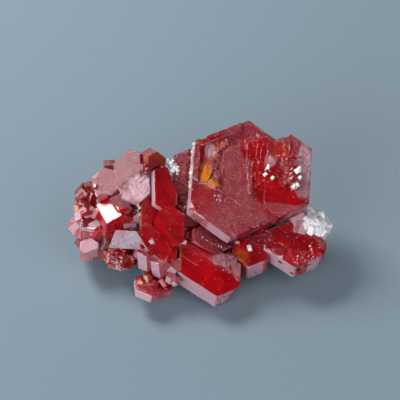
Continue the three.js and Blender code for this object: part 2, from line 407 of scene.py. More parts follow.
def refine(piece, longest=None):
    """Splits every edge that is longer than the mesh edge wanted."""
    longest = longest or sizes().mesh_edge
    edit(piece, "EDGE")
    bpy.ops.mesh.quads_convert_to_tris(quad_method="BEAUTY", ngon_method="BEAUTY")
    done()
    for _ in range(8):
        mesh = piece.data
        spots = np.empty(len(mesh.vertices) * 3)
        mesh.vertices.foreach_get("co", spots)
        spots = spots.reshape(-1, 3)
        ends = np.empty(len(mesh.edges) * 2, int)
        mesh.edges.foreach_get("vertices", ends)
        ends = ends.reshape(-1, 2)
        long = np.linalg.norm(spots[ends[:, 0]] - spots[ends[:, 1]], axis=1) > longest
        if not long.any():
            break
        edit(piece, "EDGE")
        bpy.ops.mesh.select_all(action="DESELECT")
        done()
        piece.data.edges.foreach_set("select", long)
        bpy.ops.object.mode_set(mode="EDIT")
        bpy.ops.mesh.subdivide(number_cuts=1, quadcorner="INNERVERT")
        bpy.ops.mesh.select_all(action="SELECT")
        bpy.ops.mesh.quads_convert_to_tris(quad_method="SHORTEST_DIAGONAL", ngon_method="BEAUTY")
        done()


def ripple(piece, depth=None, grain=1.4 * MM, kind="CLOUDS"):
    """Moves a fine mesh in and out by a smooth noise."""
    noise = bpy.data.textures.new("ripple", kind)
    noise.noise_scale = grain
    if kind == "CLOUDS":
        noise.noise_depth = 3
    use_modifier(piece, "DISPLACE", texture=noise, texture_coords="LOCAL",
                 strength=depth or sizes().ripple, mid_level=0.5)


def nibble(piece, seat, count, seed, largest=0.7):
    """Chips small pieces off the rim of a crystal's top face."""
    chance = random.Random(seed)
    corners = seat.corners
    for _ in range(count):
        index = chance.randrange(len(corners))
        share = chance.random()
        place = corners[index].lerp(corners[(index + 1) % len(corners)], share)
        inward = (seat.middle - place).normalized()
        axis = tilted(seat.out, -inward, chance.uniform(20, 70))
        reach = [chance.uniform(0.25, 1.0) * largest * MM for _ in range(SIX)]
        place = place - seat.out * chance.uniform(0.05, 0.3) * largest * MM
        add_solid(piece, crystal(place + axis * MM, axis, seat.side, reach, MM), "DIFFERENCE")


def smooth(piece, degrees=24):
    """Shades a piece smooth, but for its edges that are sharper than this."""
    only(piece)
    bpy.ops.object.shade_smooth_by_angle(angle=math.radians(degrees))


def ramp(value, low, high):
    """0 below low, 1 above high, and smooth between."""
    part = min(max((value - low) / (high - low), 0.0), 1.0)
    return part * part * (3 - 2 * part)


def store(piece, name, values):
    """Keeps one value for each face, as an attribute that the finishes read."""
    layer = piece.data.attributes.new(name, "FLOAT", "FACE")
    layer.data.foreach_set("value", values)


def paint(piece, name, rule):
    """Gives each face the value that the rule says for its middle and its direction."""
    store(piece, name, [min(max(rule(face.center, face.normal), 0.0), 1.0) for face in piece.data.polygons])


def paint_evenly(piece, **levels):
    """Gives every face of a piece the same values."""
    for name, level in levels.items():
        store(piece, name, [level] * len(piece.data.polygons))


class Patch:
    """A round-edged area of a face: its middle and half sizes in millimetres, and its strength."""

    def __init__(self, across, along, half_across, half_along, strength=1.0):
        self.place = (across, along)
        self.half = (half_across, half_along)
        self.strength = strength

    def value(self, seat, point):
        offset = (point - seat.middle) / MM
        across = (offset.dot(seat.across) - self.place[0]) / self.half[0]
        along = (offset.dot(seat.along) - self.place[1]) / self.half[1]
        return self.strength * (1 - ramp(math.hypot(across, along), 0.75, 1.15))


def finish_crystal(piece, node, slot, material, seat, side_bloom=1.0, other_bloom=0.22,
                   top_dust=(), top_level=0.0, amber=(), rough=(), bare=(), frost=()):
    """Paints the film with its painted sheen, the amber glow and the roughness on a crystal, and gives it
    its finish.

    A patch of top_dust with a strength below 0 takes dust away; bare patches have no bloom."""
    def bloom(point, normal):
        basal = ramp(normal.dot(seat.out), 0.70, 0.92)
        # painted reflection: faces that look towards the front lamp get the higher level, a pale sheen
        # painted over the real film that all prism faces carry
        facing = ramp(normal.dot(SHEEN_SIDE), 0.30, 0.72)
        level = other_bloom + (side_bloom - other_bloom) * facing
        below = ramp((seat.middle - point).dot(seat.out), -0.5 * RISER, RISER)
        cleaned = strongest(bare)(point, normal)
        frosted = strongest(frost)(point, normal)
        return (1 - basal) * level * (0.06 + 0.94 * below) * (1 - cleaned) + basal * frosted

    def dust(point, normal):
        basal = ramp(normal.dot(seat.out), 0.60, 0.92)
        level = top_level
        for patch in top_dust:
            value = patch.value(seat, point)
            level = max(level, value) if patch.strength > 0 else level * (1 + value)
        return basal * level

    def strongest(patches):
        return lambda point, normal: max([0.0] + [patch.value(seat, point) for patch in patches])

    paint(piece, "bloom", bloom)
    paint(piece, "dust", dust)
    paint(piece, "amber", strongest(amber))
    paint(piece, "rough", strongest(rough))
    hand_over(piece, slot, material, node)


def hand_over(piece, slot, material, *nodes):
    """Gives a piece its finish, hangs it under the root empty, and hides the CAD nodes that it replaces."""
    piece.data.materials.clear()
    piece.data.materials.append(material)
    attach(piece, "root")
    if nodes:
        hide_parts(*nodes)


# ---------------------------------------------------------------------------
# finishes
# ---------------------------------------------------------------------------

SOCKETS = {
    "colour": "Base Color", "roughness": "Roughness", "normal": "Normal", "index": "IOR",
    "clear": "Transmission Weight", "gloss": "Specular IOR Level", "depth_weight": "Subsurface Weight",
    "depth_radius": "Subsurface Radius", "depth_scale": "Subsurface Scale",
}


class Nodes:
    """Short ways to add nodes to a tree."""

    def __init__(self, tree):
        self.tree = tree

    def node(self, kind, **settings):
        made = self.tree.nodes.new(kind)
        for name, value in settings.items():
            setattr(made, name, value)
        return made

    def link(self, source, target):
        self.tree.links.new(source, target)

    def fit(self, value, low, high, to_low=0.0, to_high=1.0):
        """Takes a value from one range to another, and keeps it there."""
        made = self.node("ShaderNodeMapRange")
        self.link(value, made.inputs["Value"])
        for name, limit in (("From Min", low), ("From Max", high), ("To Min", to_low), ("To Max", to_high)):
            made.inputs[name].default_value = limit
        return made.outputs["Result"]

    def sum(self, first, second, operation="ADD"):
        """Two values added, or put together in another way, and kept between 0 and 1."""
        made = self.node("ShaderNodeMath", operation=operation, use_clamp=True)
        for socket, value in zip(made.inputs, (first, second)):
            if isinstance(value, (int, float)):
                socket.default_value = value
            else:
                self.link(value, socket)
        return made.outputs["Value"]

    def times(self, first, second):
        return self.sum(first, second, "MULTIPLY")


class Finish(Nodes):
    """A node material under construction."""

    def __init__(self, name):
        self.material = bpy.data.materials.new(name)
        self.material.use_nodes = True
        super().__init__(self.material.node_tree)
        self.surface = self.tree.nodes["Principled BSDF"]
        self.place = self.node("ShaderNodeTexCoord").outputs["Object"]

    def look(self, **sockets):
        """Sets the shader's sockets: a value is set, and an output is linked."""
        for name, value in sockets.items():
            socket = self.surface.inputs[SOCKETS[name]]
            if hasattr(value, "is_linked"):
                self.link(value, socket)
            else:
                socket.default_value = value

    def noise(self, size, detail=4.0, roughness=0.55):
        """Smooth noise with lumps of a size given in metres."""
        made = self.node("ShaderNodeTexNoise")
        made.inputs["Scale"].default_value = 1 / size
        made.inputs["Detail"].default_value = detail
        made.inputs["Roughness"].default_value = roughness
        self.link(self.place, made.inputs["Vector"])
        return made.outputs["Fac"]

    def cells(self, size):
        """Rounded cells, each with its own low middle, of a size given in metres."""
        made = self.node("ShaderNodeTexVoronoi")
        made.inputs["Scale"].default_value = 1 / size
        self.link(self.place, made.inputs["Vector"])
        return made.outputs["Distance"]

    def streaks(self, thin, long, bearing=72.0):
        """Noise drawn out into hairlines, of a width and a length given in metres."""
        turn = self.node("ShaderNodeMapping", vector_type="POINT")
        turn.inputs["Rotation"].default_value = (0, 0, math.radians(-bearing))
        turn.inputs["Scale"].default_value = (1 / long, 1 / thin, 1 / (4 * thin))
        self.link(self.place, turn.inputs["Vector"])
        made = self.node("ShaderNodeTexNoise")
        made.inputs["Scale"].default_value = 1.0
        made.inputs["Detail"].default_value = 3.0
        self.link(turn.outputs["Vector"], made.inputs["Vector"])
        return made.outputs["Fac"]

    def painted(self, name):
        """A value that was painted on the mesh."""
        return self.node("ShaderNodeAttribute", attribute_name=name).outputs["Fac"]

    def mix(self, amount, first, second):
        """The first colour, turning into the second by the amount."""
        made = self.node("ShaderNodeMix", data_type="RGBA")
        for socket, value in ((made.inputs[0], amount), (made.inputs[6], first), (made.inputs[7], second)):
            if hasattr(value, "is_linked"):
                self.link(value, socket)
            elif isinstance(value, (int, float)):
                socket.default_value = value
            else:
                socket.default_value = tuple(value)
        return made.outputs[2]

    def bump(self, height, depth, strength=1.0, under=None):
        """Unevenness of a depth given in metres, on top of any that is under it."""
        made = self.node("ShaderNodeBump")
        made.inputs["Distance"].default_value = depth
        made.inputs["Strength"].default_value = strength
        self.link(height, made.inputs["Height"])
        if under is not None:
            self.link(under, made.inputs["Normal"])
        return made.outputs["Normal"]


def vanadinite(name, body_dark, body_light, film_colour, clear=0.22):
    """Deep red, resinous crystal, with a dusty film and a painted pale sheen where the mesh is painted for
    them.
    """
    made = Finish(name)
    tone = colours()
    clouds = made.fit(made.noise(3.6 * MM, 5.0, 0.6), 0.36, 0.62)
    body = made.mix(clouds, body_dark, body_light)
    glow = made.times(made.painted("amber"), made.fit(made.noise(0.9 * MM), 0.32, 0.52))
    body = made.mix(glow, body, tone.amber)

    # the dust: thin where it is worn off in specks, broad areas and hairlines, and none on the amber
    speck = made.fit(made.noise(0.30 * MM, 6.0, 0.75), 0.36, 0.64)
    broad = made.fit(made.noise(1.9 * MM, 4.0, 0.65), 0.34, 0.60)
    hair = made.fit(made.streaks(0.10 * MM, 3.0 * MM), 0.40, 0.62)
    cover = made.sum(made.times(speck, 0.30), made.times(broad, 0.35))
    cover = made.sum(made.sum(cover, made.times(hair, 0.20)), 0.25)
    clean = made.sum(1.0, made.painted("amber"), "SUBTRACT")
    mottle = made.times(made.noise(0.9 * MM, 6.0, 0.7), 0.6)
    ragged = made.fit(made.sum(made.painted("dust"), mottle), 0.36, 0.96)
    dust = made.times(made.times(ragged, cover), clean)
    body = made.mix(dust, body, film_colour)
    fleck = made.fit(made.noise(0.20 * MM, 3.0, 0.5), 0.60, 0.68)
    body = made.mix(made.times(made.times(fleck, dust), 0.42), body, tone.bloom)

    # the bloom: a pale film with torn edges, partly a painted reflection on the faces towards the front
    # lamp
    streak = made.fit(made.noise(0.7 * MM, 5.0, 0.65), 0.28, 0.50, 0.80, 1.0)
    torn = made.fit(made.sum(made.painted("bloom"), mottle), 0.36, 0.96)
    film = made.times(torn, streak)
    body = made.mix(film, body, tone.bloom)

    dull = made.sum(made.times(dust, 0.16), made.times(film, 0.22))
    worn = made.sum(dull, made.times(made.painted("rough"), 0.10))
    polish = made.fit(made.noise(0.8 * MM), 0.3, 0.7, 0.06, 0.18)
    pits = made.times(made.cells(0.55 * MM), made.times(made.painted("rough"), 0.9))
    grain = made.times(made.noise(0.30 * MM, 6.0, 0.7), made.sum(dust, 0.25))
    fine = made.bump(grain, 0.14 * MM, 1.0)
    lines = made.bump(made.streaks(0.10 * MM, 3.0 * MM), 0.02 * MM, 0.5, fine)
    made.look(colour=body, roughness=made.sum(worn, polish), normal=made.bump(pits, 0.25 * MM, 1.0, lines),
              index=1.85, clear=clear, depth_weight=0.30, depth_radius=(1.0, 0.08, 0.06),
              depth_scale=0.7 * MM)
    return made.material


def finish_library():
    """The finishes, each made once."""
    tone = colours()
    makers = {
        "vanadinite": lambda: vanadinite("vanadinite", tone.deep_red, tone.bright_red, tone.dust),
        "pale_vanadinite": lambda: vanadinite(
            "pale_vanadinite", tone.deep_red, tone.bright_red, tone.chalk, 0.05),
        "lilac_vanadinite": lambda: vanadinite(
            "lilac_vanadinite", tone.deep_red, tone.bright_red, tone.lilac, 0.05),
        "brown_vanadinite": lambda: vanadinite(
            "brown_vanadinite", tone.brown, tone.deep_red, tone.dust),
        "barite": barite,
        "crumb": crumb_stone,
        "rock": rock,
    }
    return {name: make() for name, make in makers.items()}


FINISHES = {}


def finish(name):
    """One of the finishes, by name."""
    if not FINISHES:
        FINISHES.update(finish_library())
    return FINISHES[name]


def barite():
    """White splintery crystal, partly see-through."""
    made = Finish("barite")
    tone = colours()
    shade = made.fit(made.noise(0.9 * MM, 5.0, 0.7), 0.30, 0.50)
    made.look(colour=made.mix(shade, tone.barite_shade, tone.barite),
              roughness=made.fit(made.noise(0.5 * MM), 0.35, 0.65, 0.08, 0.45),
              normal=made.bump(made.cells(0.45 * MM), 0.06 * MM, 0.7),
              index=1.64, depth_weight=0.4, depth_radius=(0.8, 0.7, 0.7), depth_scale=0.6 * MM)
    return made.material


def crumb_stone():
    """Cream crumbs of the rock."""
    made = Finish("crumb")
    tone = colours()
    shade = made.fit(made.noise(0.5 * MM, 4.0), 0.35, 0.60)
    made.look(colour=made.mix(shade, tone.crumb_dark, tone.crumb_light),
              roughness=made.fit(made.noise(0.3 * MM), 0.35, 0.65, 0.3, 0.7))
    return made.material


def rock():
    """Rough cream to rusty brown rock."""
    made = Finish("rock")
    tone = colours()
    rust = made.fit(made.noise(1.8 * MM, 6.0, 0.65), 0.42, 0.62)
    body = made.mix(rust, tone.rock_light, tone.rock_dark)
    grit = made.bump(made.noise(0.3 * MM, 8.0, 0.7), 0.10 * MM, 0.8)
    # painted shade: the rock turns near black-red where it lies close to a crystal
    made.look(colour=made.mix(made.painted("crevice_shade"), body, tone.crevice_shade),
              roughness=made.fit(made.noise(0.6 * MM), 0.3, 0.7, 0.65, 0.95),
              normal=made.bump(made.cells(0.7 * MM), 0.12 * MM, 0.5, grit))
    return made.material


# ---------------------------------------------------------------------------
# crystals
# ---------------------------------------------------------------------------

def grow(node, slot, material, seed, layers=8, widest=2.5 * MM, wear=None, mesh=None, shape=None,
         details=None, depth=None, height=None, wave=0.16 * MM, nibbles=0, **look):
    """The usual way from a CAD node's solid to its finished crystal.

    shape may build the solid anew from its seat; details may add to the bevelled solid."""
    piece = merged_copy(node, "finished_" + node)
    seat = Seat(piece, node)
    if shape:
        bpy.data.objects.remove(piece)
        piece = shape(seat)
        settle(piece, "finished_" + node)
    else:
        round_edges(piece, wear)
    growth_layers(piece, seat, layers, seed, widest, height)
    if details:
        details(piece, seat)
    nibble(piece, seat, nibbles, seed + 500)
    refine(piece, mesh)
    ripple(piece, depth)
    ripple(piece, wave, 2.6 * MM)
    smooth(piece)
    finish_crystal(piece, node, slot, finish(material), seat, **look)
    return piece


def build(parts, wear=None):
    """One solid out of crystals: each is (place, axis, side, six reaches in mm, depth in mm)."""
    whole = None
    for place, axis, side, reach, depth in parts:
        made = crystal(place, axis, side, [distance * MM for distance in reach], depth * MM)
        round_edges(made, wear)
        if whole is None:
            whole = made
        else:
            add_solid(whole, made)
    return whole


def block(place, lean, toward, roll, wide, long, film=0.0, dust=0.0, amber=0.0, wear=0.05 * MM):
    """A six-sided prism seen on one of its sides: place and lean are those of that face.

    The film, dust and amber values say how much of each the face and its neighbours carry; the film is
    partly a real pale film and partly a painted sheen on that face."""
    normal, axis = stance(lean, toward, roll)
    radius = wide * MM * math.sqrt(3) / 2
    top = place - normal * radius + axis * long * MM / 2
    made = crystal(top, axis, normal, [radius] * SIX, long * MM)
    round_edges(made, wear)
    paint(made, "bloom", lambda point, out: film * (0.25 + 0.75 * ramp(out.dot(normal), 0.6, 0.95)))
    paint_evenly(made, dust=dust, amber=amber, rough=0.0)
    return made


def cluster(name, slot, material, blocks):
    """Several small crystals as one piece."""
    piece = joined([block(*entry) for entry in blocks], name)
    refine(piece, SMALL_MESH)
    ripple(piece, SMALL_RIPPLE)
    smooth(piece)
    hand_over(piece, slot, finish(material))
    return piece


def crumbs(name, slot, material, places, size, seed, spread=0.3):
    """Small angular crumbs: one is modelled, then copied to each place."""
    chance = random.Random(seed)
    bpy.ops.object.select_all(action="DESELECT")
    bpy.ops.mesh.primitive_ico_sphere_add(subdivisions=1, radius=0.5)
    first = bpy.context.object
    trim(first, (0.22, 0, 0), (0.9, 0.2, 0.3))
    trim(first, (0, 0, 0.26), (-0.3, 0.2, 0.9))
    copies = []
    for place in places:
        copy = bpy.data.objects.new("crumb", first.data.copy())
        bpy.context.scene.collection.objects.link(copy)
        wide = size * chance.uniform(0.5, 1.3)
        stretch = Vector([wide * chance.uniform(0.6, 1.2) for _ in range(3)])
        turn = Matrix.Rotation(chance.uniform(0, math.tau), 4, Vector(
            (chance.uniform(-1, 1), chance.uniform(-1, 1), chance.uniform(-1, 1.01))).normalized())
        shift = Vector([chance.uniform(-1, 1) * spread * MM for _ in range(3)])
        copy.data.transform(Matrix.Translation(place + shift) @ turn @ Matrix.Diagonal((*stretch, 1)))
        copies.append(copy)
    bpy.data.objects.remove(first)
    piece = joined(copies, name)
    paint_evenly(piece, bloom=0.0, dust=0.0, amber=0.0, rough=0.0)
    hand_over(piece, slot, finish(material))
    return piece


def hex_grain():
    """The one small crystal that every druse is a copy of."""
    made = crystal(Vector((0, 0, 0.6)) * MM, Vector((0, 0, 1)), Vector((1, 0, 0)),
                   [0.5 * MM] * SIX, 1.5 * MM)
    round_edges(made, 0.05 * MM, 1)
    return made


def druse(name, host, count, seed, where, small=0.5, large=1.3, keep_off=(), film=0.5):
    """Scatters small crystals over a host's faces, wherever the rule allows and nothing is in the way.

    Each keeps its own shade of dust or amber; the film value says how pale the sides towards the front lamp
    are, a painted sheen."""
    chance = random.Random(seed)
    first = hex_grain()
    blocked = [BVHTree.FromObject(piece, bpy.context.evaluated_depsgraph_get()) for piece in keep_off]
    faces = host.data.polygons
    copies = []
    tries = 0
    while len(copies) < count and tries < 60 * count:
        tries += 1
        face = faces[chance.randrange(len(faces))]
        if not where(face.center, face.normal):
            continue
        wide = chance.uniform(small, large) * (0.6 + 0.4 * chance.random())
        near = min([tree.find_nearest(face.center)[3] for tree in blocked] or [1])
        if near < 0.42 * wide * MM:
            continue
        lean = (face.normal + 0.7 * Vector([chance.uniform(-1, 1) for _ in range(3)])).normalized()
        side = lean.orthogonal().normalized()
        turn = turned(lean, Matrix.Rotation(chance.uniform(0, math.tau), 3, lean) @ side).to_4x4()
        stretch = Matrix.Diagonal((wide, wide, wide * chance.uniform(0.5, 1.1), 1))
        copy = bpy.data.objects.new("grain", first.data.copy())
        bpy.context.scene.collection.objects.link(copy)
        copy.data.transform(Matrix.Translation(face.center) @ turn @ stretch)
        copies.append(copy)
    bpy.data.objects.remove(first)
    piece = joined(copies, name)
    hues = [chance.random() for _ in range(GRAIN_HUES)]
    faces_each = len(piece.data.polygons) // max(len(copies), 1)
    level = [hues[(face.index // faces_each) % GRAIN_HUES] for face in piece.data.polygons]
    # painted sheen: the sides towards the front lamp are paler
    paint(piece, "bloom", lambda point, out: film * ramp(out.dot(SHEEN_SIDE), 0.35, 0.8))
    store(piece, "dust", [0.5 * ramp(part, 0.5, 1.0) for part in level])
    store(piece, "amber", [0.6 * ramp(1 - part, 0.75, 0.95) for part in level])
    paint_evenly(piece, rough=0.3)
    hand_over(piece, "vanadinite", finish("vanadinite"))
    return piece


def plate_side(seat, turn=PLATE_TURN):
    """The way that a side of the broad plate faces."""
    return Matrix.Rotation(math.radians(turn), 3, seat.out) @ seat.across


def broad_plate_shape(seat):
    """The plate, the layers on it, its rim, the steps that climb to its lobe, and the lobe."""
    axis = seat.out
    side = plate_side(seat)
    main = tilted(axis, -seat.along, 3.0)
    patch = tilted(axis, -seat.along, 1.2)
    lobe_axis, lobe_side = stance(*LOBE_STANCE)
    parts = [
        (seat.at(-2.8, -3.6, -0.68), axis, side, (6.5, 11.6, 9.6, 5.8, 5.4, 5.9), 2.7),
        (seat.at(-2.8, -3.6, -0.55), patch, side, (5.0, 7.0, 8.3, 3.7, 0.4, 2.0), 1.5),
        (seat.at(-2.8, -3.6, -0.57), main, side, (6.0, 11.1, 6.7, 1.5, 3.1, 5.2), 1.5),
        (seat.at(-2.9, -3.6, -0.15), axis, side, (-4.9, 11.0, 9.5, 5.7, 1.2, 5.0), 1.5),
        (seat.at(-2.9, -3.6, -0.15), axis, side, (1.0, 11.4, 9.5, 5.7, 3.6, -8.5), 1.5),
        (seat.at(*LOBE_TOP), lobe_axis, lobe_side, (3.1, 5.1, 5.3, 3.6, 6.9, 5.5), 3.6),
    ]
    chance = random.Random(5)
    for across, along, out, wide, tall in (
            (0.7, 2.6, 0.20, 1.0, 2.0), (1.9, 3.4, 0.50, 1.1, 1.8), (2.3, 1.3, 0.70, 1.3, 1.5),
            (0.9, 0.1, 0.00, 0.8, 1.3), (1.3, 4.9, 0.30, 0.9, 0.9), (2.9, 2.7, 0.95, 1.2, 1.6),
            (2.0, -1.3, 0.10, 1.1, 1.4), (3.1, -0.4, 0.65, 1.0, 1.2), (0.0, 4.6, 0.10, 0.6, 1.0)):
        lean = tilted(axis, -seat.across, chance.uniform(0, 5))
        reach = [part * chance.uniform(0.8, 1.2) for part in (wide, tall, tall, wide, tall, tall)]
        parts.append((seat.at(across, along, out), lean, side, reach, 1.6))
    return build(parts, 0.07 * MM)


def plate_chips(seat):
    """The amber chips on the left of the dusty layer."""
    side = plate_side(seat)
    slant = plate_side(seat, -22)
    low_left = -(seat.along + seat.across)
    return [
        (seat.at(-6.35, -0.5, -0.18), tilted(seat.out, -seat.across, 13), slant,
         (0.6, 1.4, 2.0, 0.6, 2.1, 1.5), 1.3),
        (seat.at(-5.6, -2.2, -0.24), tilted(seat.out, low_left, 22), side,
         (1.2, 0.6, 0.7, 1.0, 0.5, 0.6), 1.2),
        (seat.at(-5.0, -1.3, -0.16), tilted(seat.out, low_left, 10), slant,
         (0.5, 0.9, 0.8, 0.5, 0.7, 0.9), 1.2),
    ]


def plate_specks(seat):
    """The rough edge of the dusty layer, and the upright ridges that climb to the lobe."""
    speck = random.Random(12)
    parts = []
    for step in range(30):
        along = -2.6 + 0.26 * step + speck.uniform(-0.2, 0.2)
        edge = 0.68 * (along - 2.0) if along > 2.0 else 0.05 * (2.0 - along)
        across = -5.35 + edge + speck.uniform(-0.4, 0.4)
        rise = 0.052 * (along + 3.6) - 0.52 + speck.uniform(-0.06, 0.10)
        lean = tilted(seat.out, -seat.across + seat.along * speck.uniform(-0.8, 0.8), speck.uniform(2, 24))
        reach = [speck.uniform(0.12, 0.42) for _ in range(SIX)]
        parts.append((seat.at(across, along, rise), lean, plate_side(seat, -22), reach, 0.8))
    for _ in range(44):
        across = speck.uniform(-0.4, 3.6)
        along = 4.6 - 1.9 * abs(across - 1.3) * speck.random() - 6.5 * speck.random()
        toward = seat.across * speck.uniform(-1, 0.4) - seat.along * speck.random()
        lean = tilted(seat.out, toward, speck.uniform(2, 15))
        tall = speck.uniform(0.3, 1.1)
        rise = 0.10 + 0.16 * max(across, 0) + speck.uniform(-0.15, 0.15)
        parts.append((seat.at(across, along, rise), lean, plate_side(seat),
                      (0.28, tall, tall, 0.28, 0.9 * tall, 0.8 * tall), 1.2))
    return parts


def lobe_hillocks(seat):
    """The low hillocks that roughen the lobe."""
    chance = random.Random(8)
    lobe_axis, lobe_side = stance(*LOBE_STANCE)
    parts = []
    for _ in range(30):
        angle = chance.uniform(0, math.tau)
        far = math.sqrt(chance.random())
        place = seat.at(5.4 + 2.6 * far * math.cos(angle), 1.3 + 3.6 * far * math.sin(angle), 0)
        rise = (seat.at(*LOBE_TOP) - place).dot(lobe_axis) / lobe_axis.dot(seat.out)
        place += seat.out * (rise + chance.uniform(0.05, 0.42) * MM)
        lean = tilted(lobe_axis, Matrix.Rotation(angle, 3, lobe_axis) @ lobe_side, chance.uniform(0, 11))
        reach = [chance.uniform(0.3, 1.1) for _ in range(SIX)]
        parts.append((place, lean, lobe_side, reach, 0.9))
    return parts


def chip_outline(piece, seat):
    """Chips along the broad plate's outline."""
    side = plate_side(seat)
    outline = [(-8.7, -6.4), (-3.1, -10.3), (3.0, -7.2), (6.0, -6.9), (9.0, -4.2), (9.0, 2.2), (6.0, 5.0),
               (0.2, 8.3), (-8.0, 4.4)]
    wear = random.Random(14)
    for index, corner in enumerate(outline):
        following = outline[(index + 1) % len(outline)]
        for _ in range(3):
            share = wear.random()
            across, along = (one + (two - one) * share for one, two in zip(corner, following))
            if across > 6 and along > 1.5:  # the lobe's own edge stays whole
                continue
            place = seat.at(across, along, -0.7 if across < 3 else 0.4)
            inward = (seat.middle - place).normalized()
            axis = tilted(seat.out, -inward, wear.uniform(15, 60))
            reach = [wear.uniform(0.25, 0.8) * MM for _ in range(SIX)]
            add_solid(piece, crystal(place + axis * 1.2 * MM, axis, side, reach, 1.5 * MM), "DIFFERENCE")


def broad_plate_details(piece, seat):
    """The small growths on the plate, the cut along its lower left edge, and its chips."""
    add_solid(piece, build(plate_chips(seat) + plate_specks(seat) + lobe_hillocks(seat), 0.04 * MM))
    edge = seat.at(-7.9, -8.6, -0.4)
    cutter = crystal(edge + seat.out * MM, seat.out, plate_side(seat, PLATE_TURN - 120),
                     [part * MM for part in (2.0, 3.2, 3.6, 0.06, 3.6, 3.2)], 4 * MM)
    add_solid(piece, cutter, "DIFFERENCE")
    chip_outline(piece, seat)


class SPECIMEN_OT_broad_plate(bpy.types.Operator):
    """The broad stepped plate with its raised rim and its rough lobe"""
    bl_idname = "specimen.broad_plate"
    bl_label = "Broad plate"

    def execute(self, context):
        grow("broad_plate", "vanadinite", "vanadinite", 11, layers=0, shape=broad_plate_shape,
             details=broad_plate_details, mesh=0.3 * MM, top_level=0.90, nibbles=16, wave=0.24 * MM,
             top_dust=(Patch(-5.9, 3.0, 1.3, 1.6, 1.0), Patch(-7.2, -4.5, 3.0, 2.6, -0.6),
                       Patch(-0.1, 3.4, 1.2, 1.7, -0.85), Patch(1.2, 3.0, 1.5, 1.9, -0.9),
                       Patch(2.4, 4.4, 1.3, 1.2, -0.75), Patch(1.9, 0.4, 1.7, 2.0, -0.9),
                       Patch(1.3, -2.0, 1.1, 1.6, -0.8), Patch(2.9, -3.2, 2.0, 2.0, -0.95),
                       Patch(4.5, -3.6, 2.2, 1.6, -0.95), Patch(6.4, -4.2, 1.7, 1.1, -0.9),
                       Patch(3.4, -0.6, 1.6, 1.7, -0.8), Patch(4.4, 2.8, 1.6, 1.6, -0.7),
                       Patch(-6.6, 4.2, 0.7, 0.5, -0.9), Patch(-5.3, 4.9, 0.8, 0.4, -0.9),
                       Patch(-4.1, 5.4, 0.8, 0.4, -0.9), Patch(-6.9, 2.5, 0.35, 1.6, -0.8)),
             amber=(Patch(-6.5, -0.5, 0.9, 1.9, 1.0), Patch(-5.5, -2.2, 1.3, 0.8, 0.8),
                    Patch(4.2, 3.0, 1.2, 0.9, 0.2), Patch(-4.2, 3.9, 1.0, 0.7, 0.5),
                    Patch(-5.2, 2.4, 0.5, 1.3, 0.45), Patch(-7.7, 4.4, 0.8, 0.8, 0.5)),
             bare=(Patch(-7.6, -8.4, 1.9, 2.4, 0.7), Patch(2.6, -9.0, 5.2, 3.5, 0.8),
                   Patch(2.6, 0.0, 2.6, 8.0, 0.95)),
             frost=(Patch(8.0, 1.2, 1.3, 3.4, 0.55), Patch(7.6, -2.6, 1.2, 1.6, 0.4),
                    Patch(-5.8, 3.2, 0.8, 1.2, 0.5), Patch(2.8, 1.4, 0.8, 1.0, 0.4)),
             rough=(Patch(6.2, 0.8, 2.6, 4.0, 1.0), Patch(-4.8, 1.6, 1.2, 3.2, 0.8),
                    Patch(1.6, 1.5, 1.6, 3.6, 0.5)))
        return {"FINISHED"}


def front_slab_details(piece, seat):
    """The low step near the slab's upper left, the rough patch on its right, and its clipped right end."""
    side = seat.side
    chance = random.Random(22)
    parts = [
        (seat.at(-2.2, 1.2, 0.10), tilted(seat.out, seat.along, 2), side,
         (1.3, 1.0, 1.6, 1.2, 0.9, 1.2), 0.8),
        (seat.at(-1.6, 0.6, 0.05), seat.out, side, (1.4, 1.2, 1.2, 1.0, 1.1, 1.3), 0.8),
    ]
    for _ in range(16):
        place = seat.at(chance.uniform(1.2, 4.0), chance.uniform(-0.8, 1.6), chance.uniform(0.03, 0.16))
        toward = Vector((chance.uniform(-1, 1), chance.uniform(-1, 1), 0.1))
        lean = tilted(seat.out, toward, chance.uniform(0, 8))
        parts.append((place, lean, side, [chance.uniform(0.2, 0.6) for _ in range(SIX)], 0.6))
    add_solid(piece, build(parts, 0.03 * MM))
    trim_on(piece, seat, ((3.75, -4.15, 0.71, -0.71), (4.62, -2.9, 0.93, -0.36), (3.2, -4.75, 0.5, -0.86)))


class SPECIMEN_OT_front_slab(bpy.types.Operator):
    """The clear slab that lies in front"""
    bl_idname = "specimen.front_slab"
    bl_label = "Front slab"

    def execute(self, context):
        grow("front_slab", "vanadinite", "vanadinite", 21, layers=0, mesh=0.3 * MM, top_level=0.04,
             nibbles=7, details=front_slab_details,
             top_dust=(Patch(1.6, 0.9, 1.6, 1.2, 0.9), Patch(3.3, 0.0, 1.6, 1.6, 0.9),
                       Patch(4.3, -1.6, 0.7, 1.3, 0.7)),
             frost=(Patch(2.4, 0.5, 2.0, 1.1, 0.30), Patch(4.2, -0.8, 0.8, 1.4, 0.28)),
             amber=(Patch(-4.3, 0.6, 0.35, 2.2, 0.6),), rough=(Patch(2.6, 0.2, 2.0, 1.5, 0.7),))
        return {"FINISHED"}


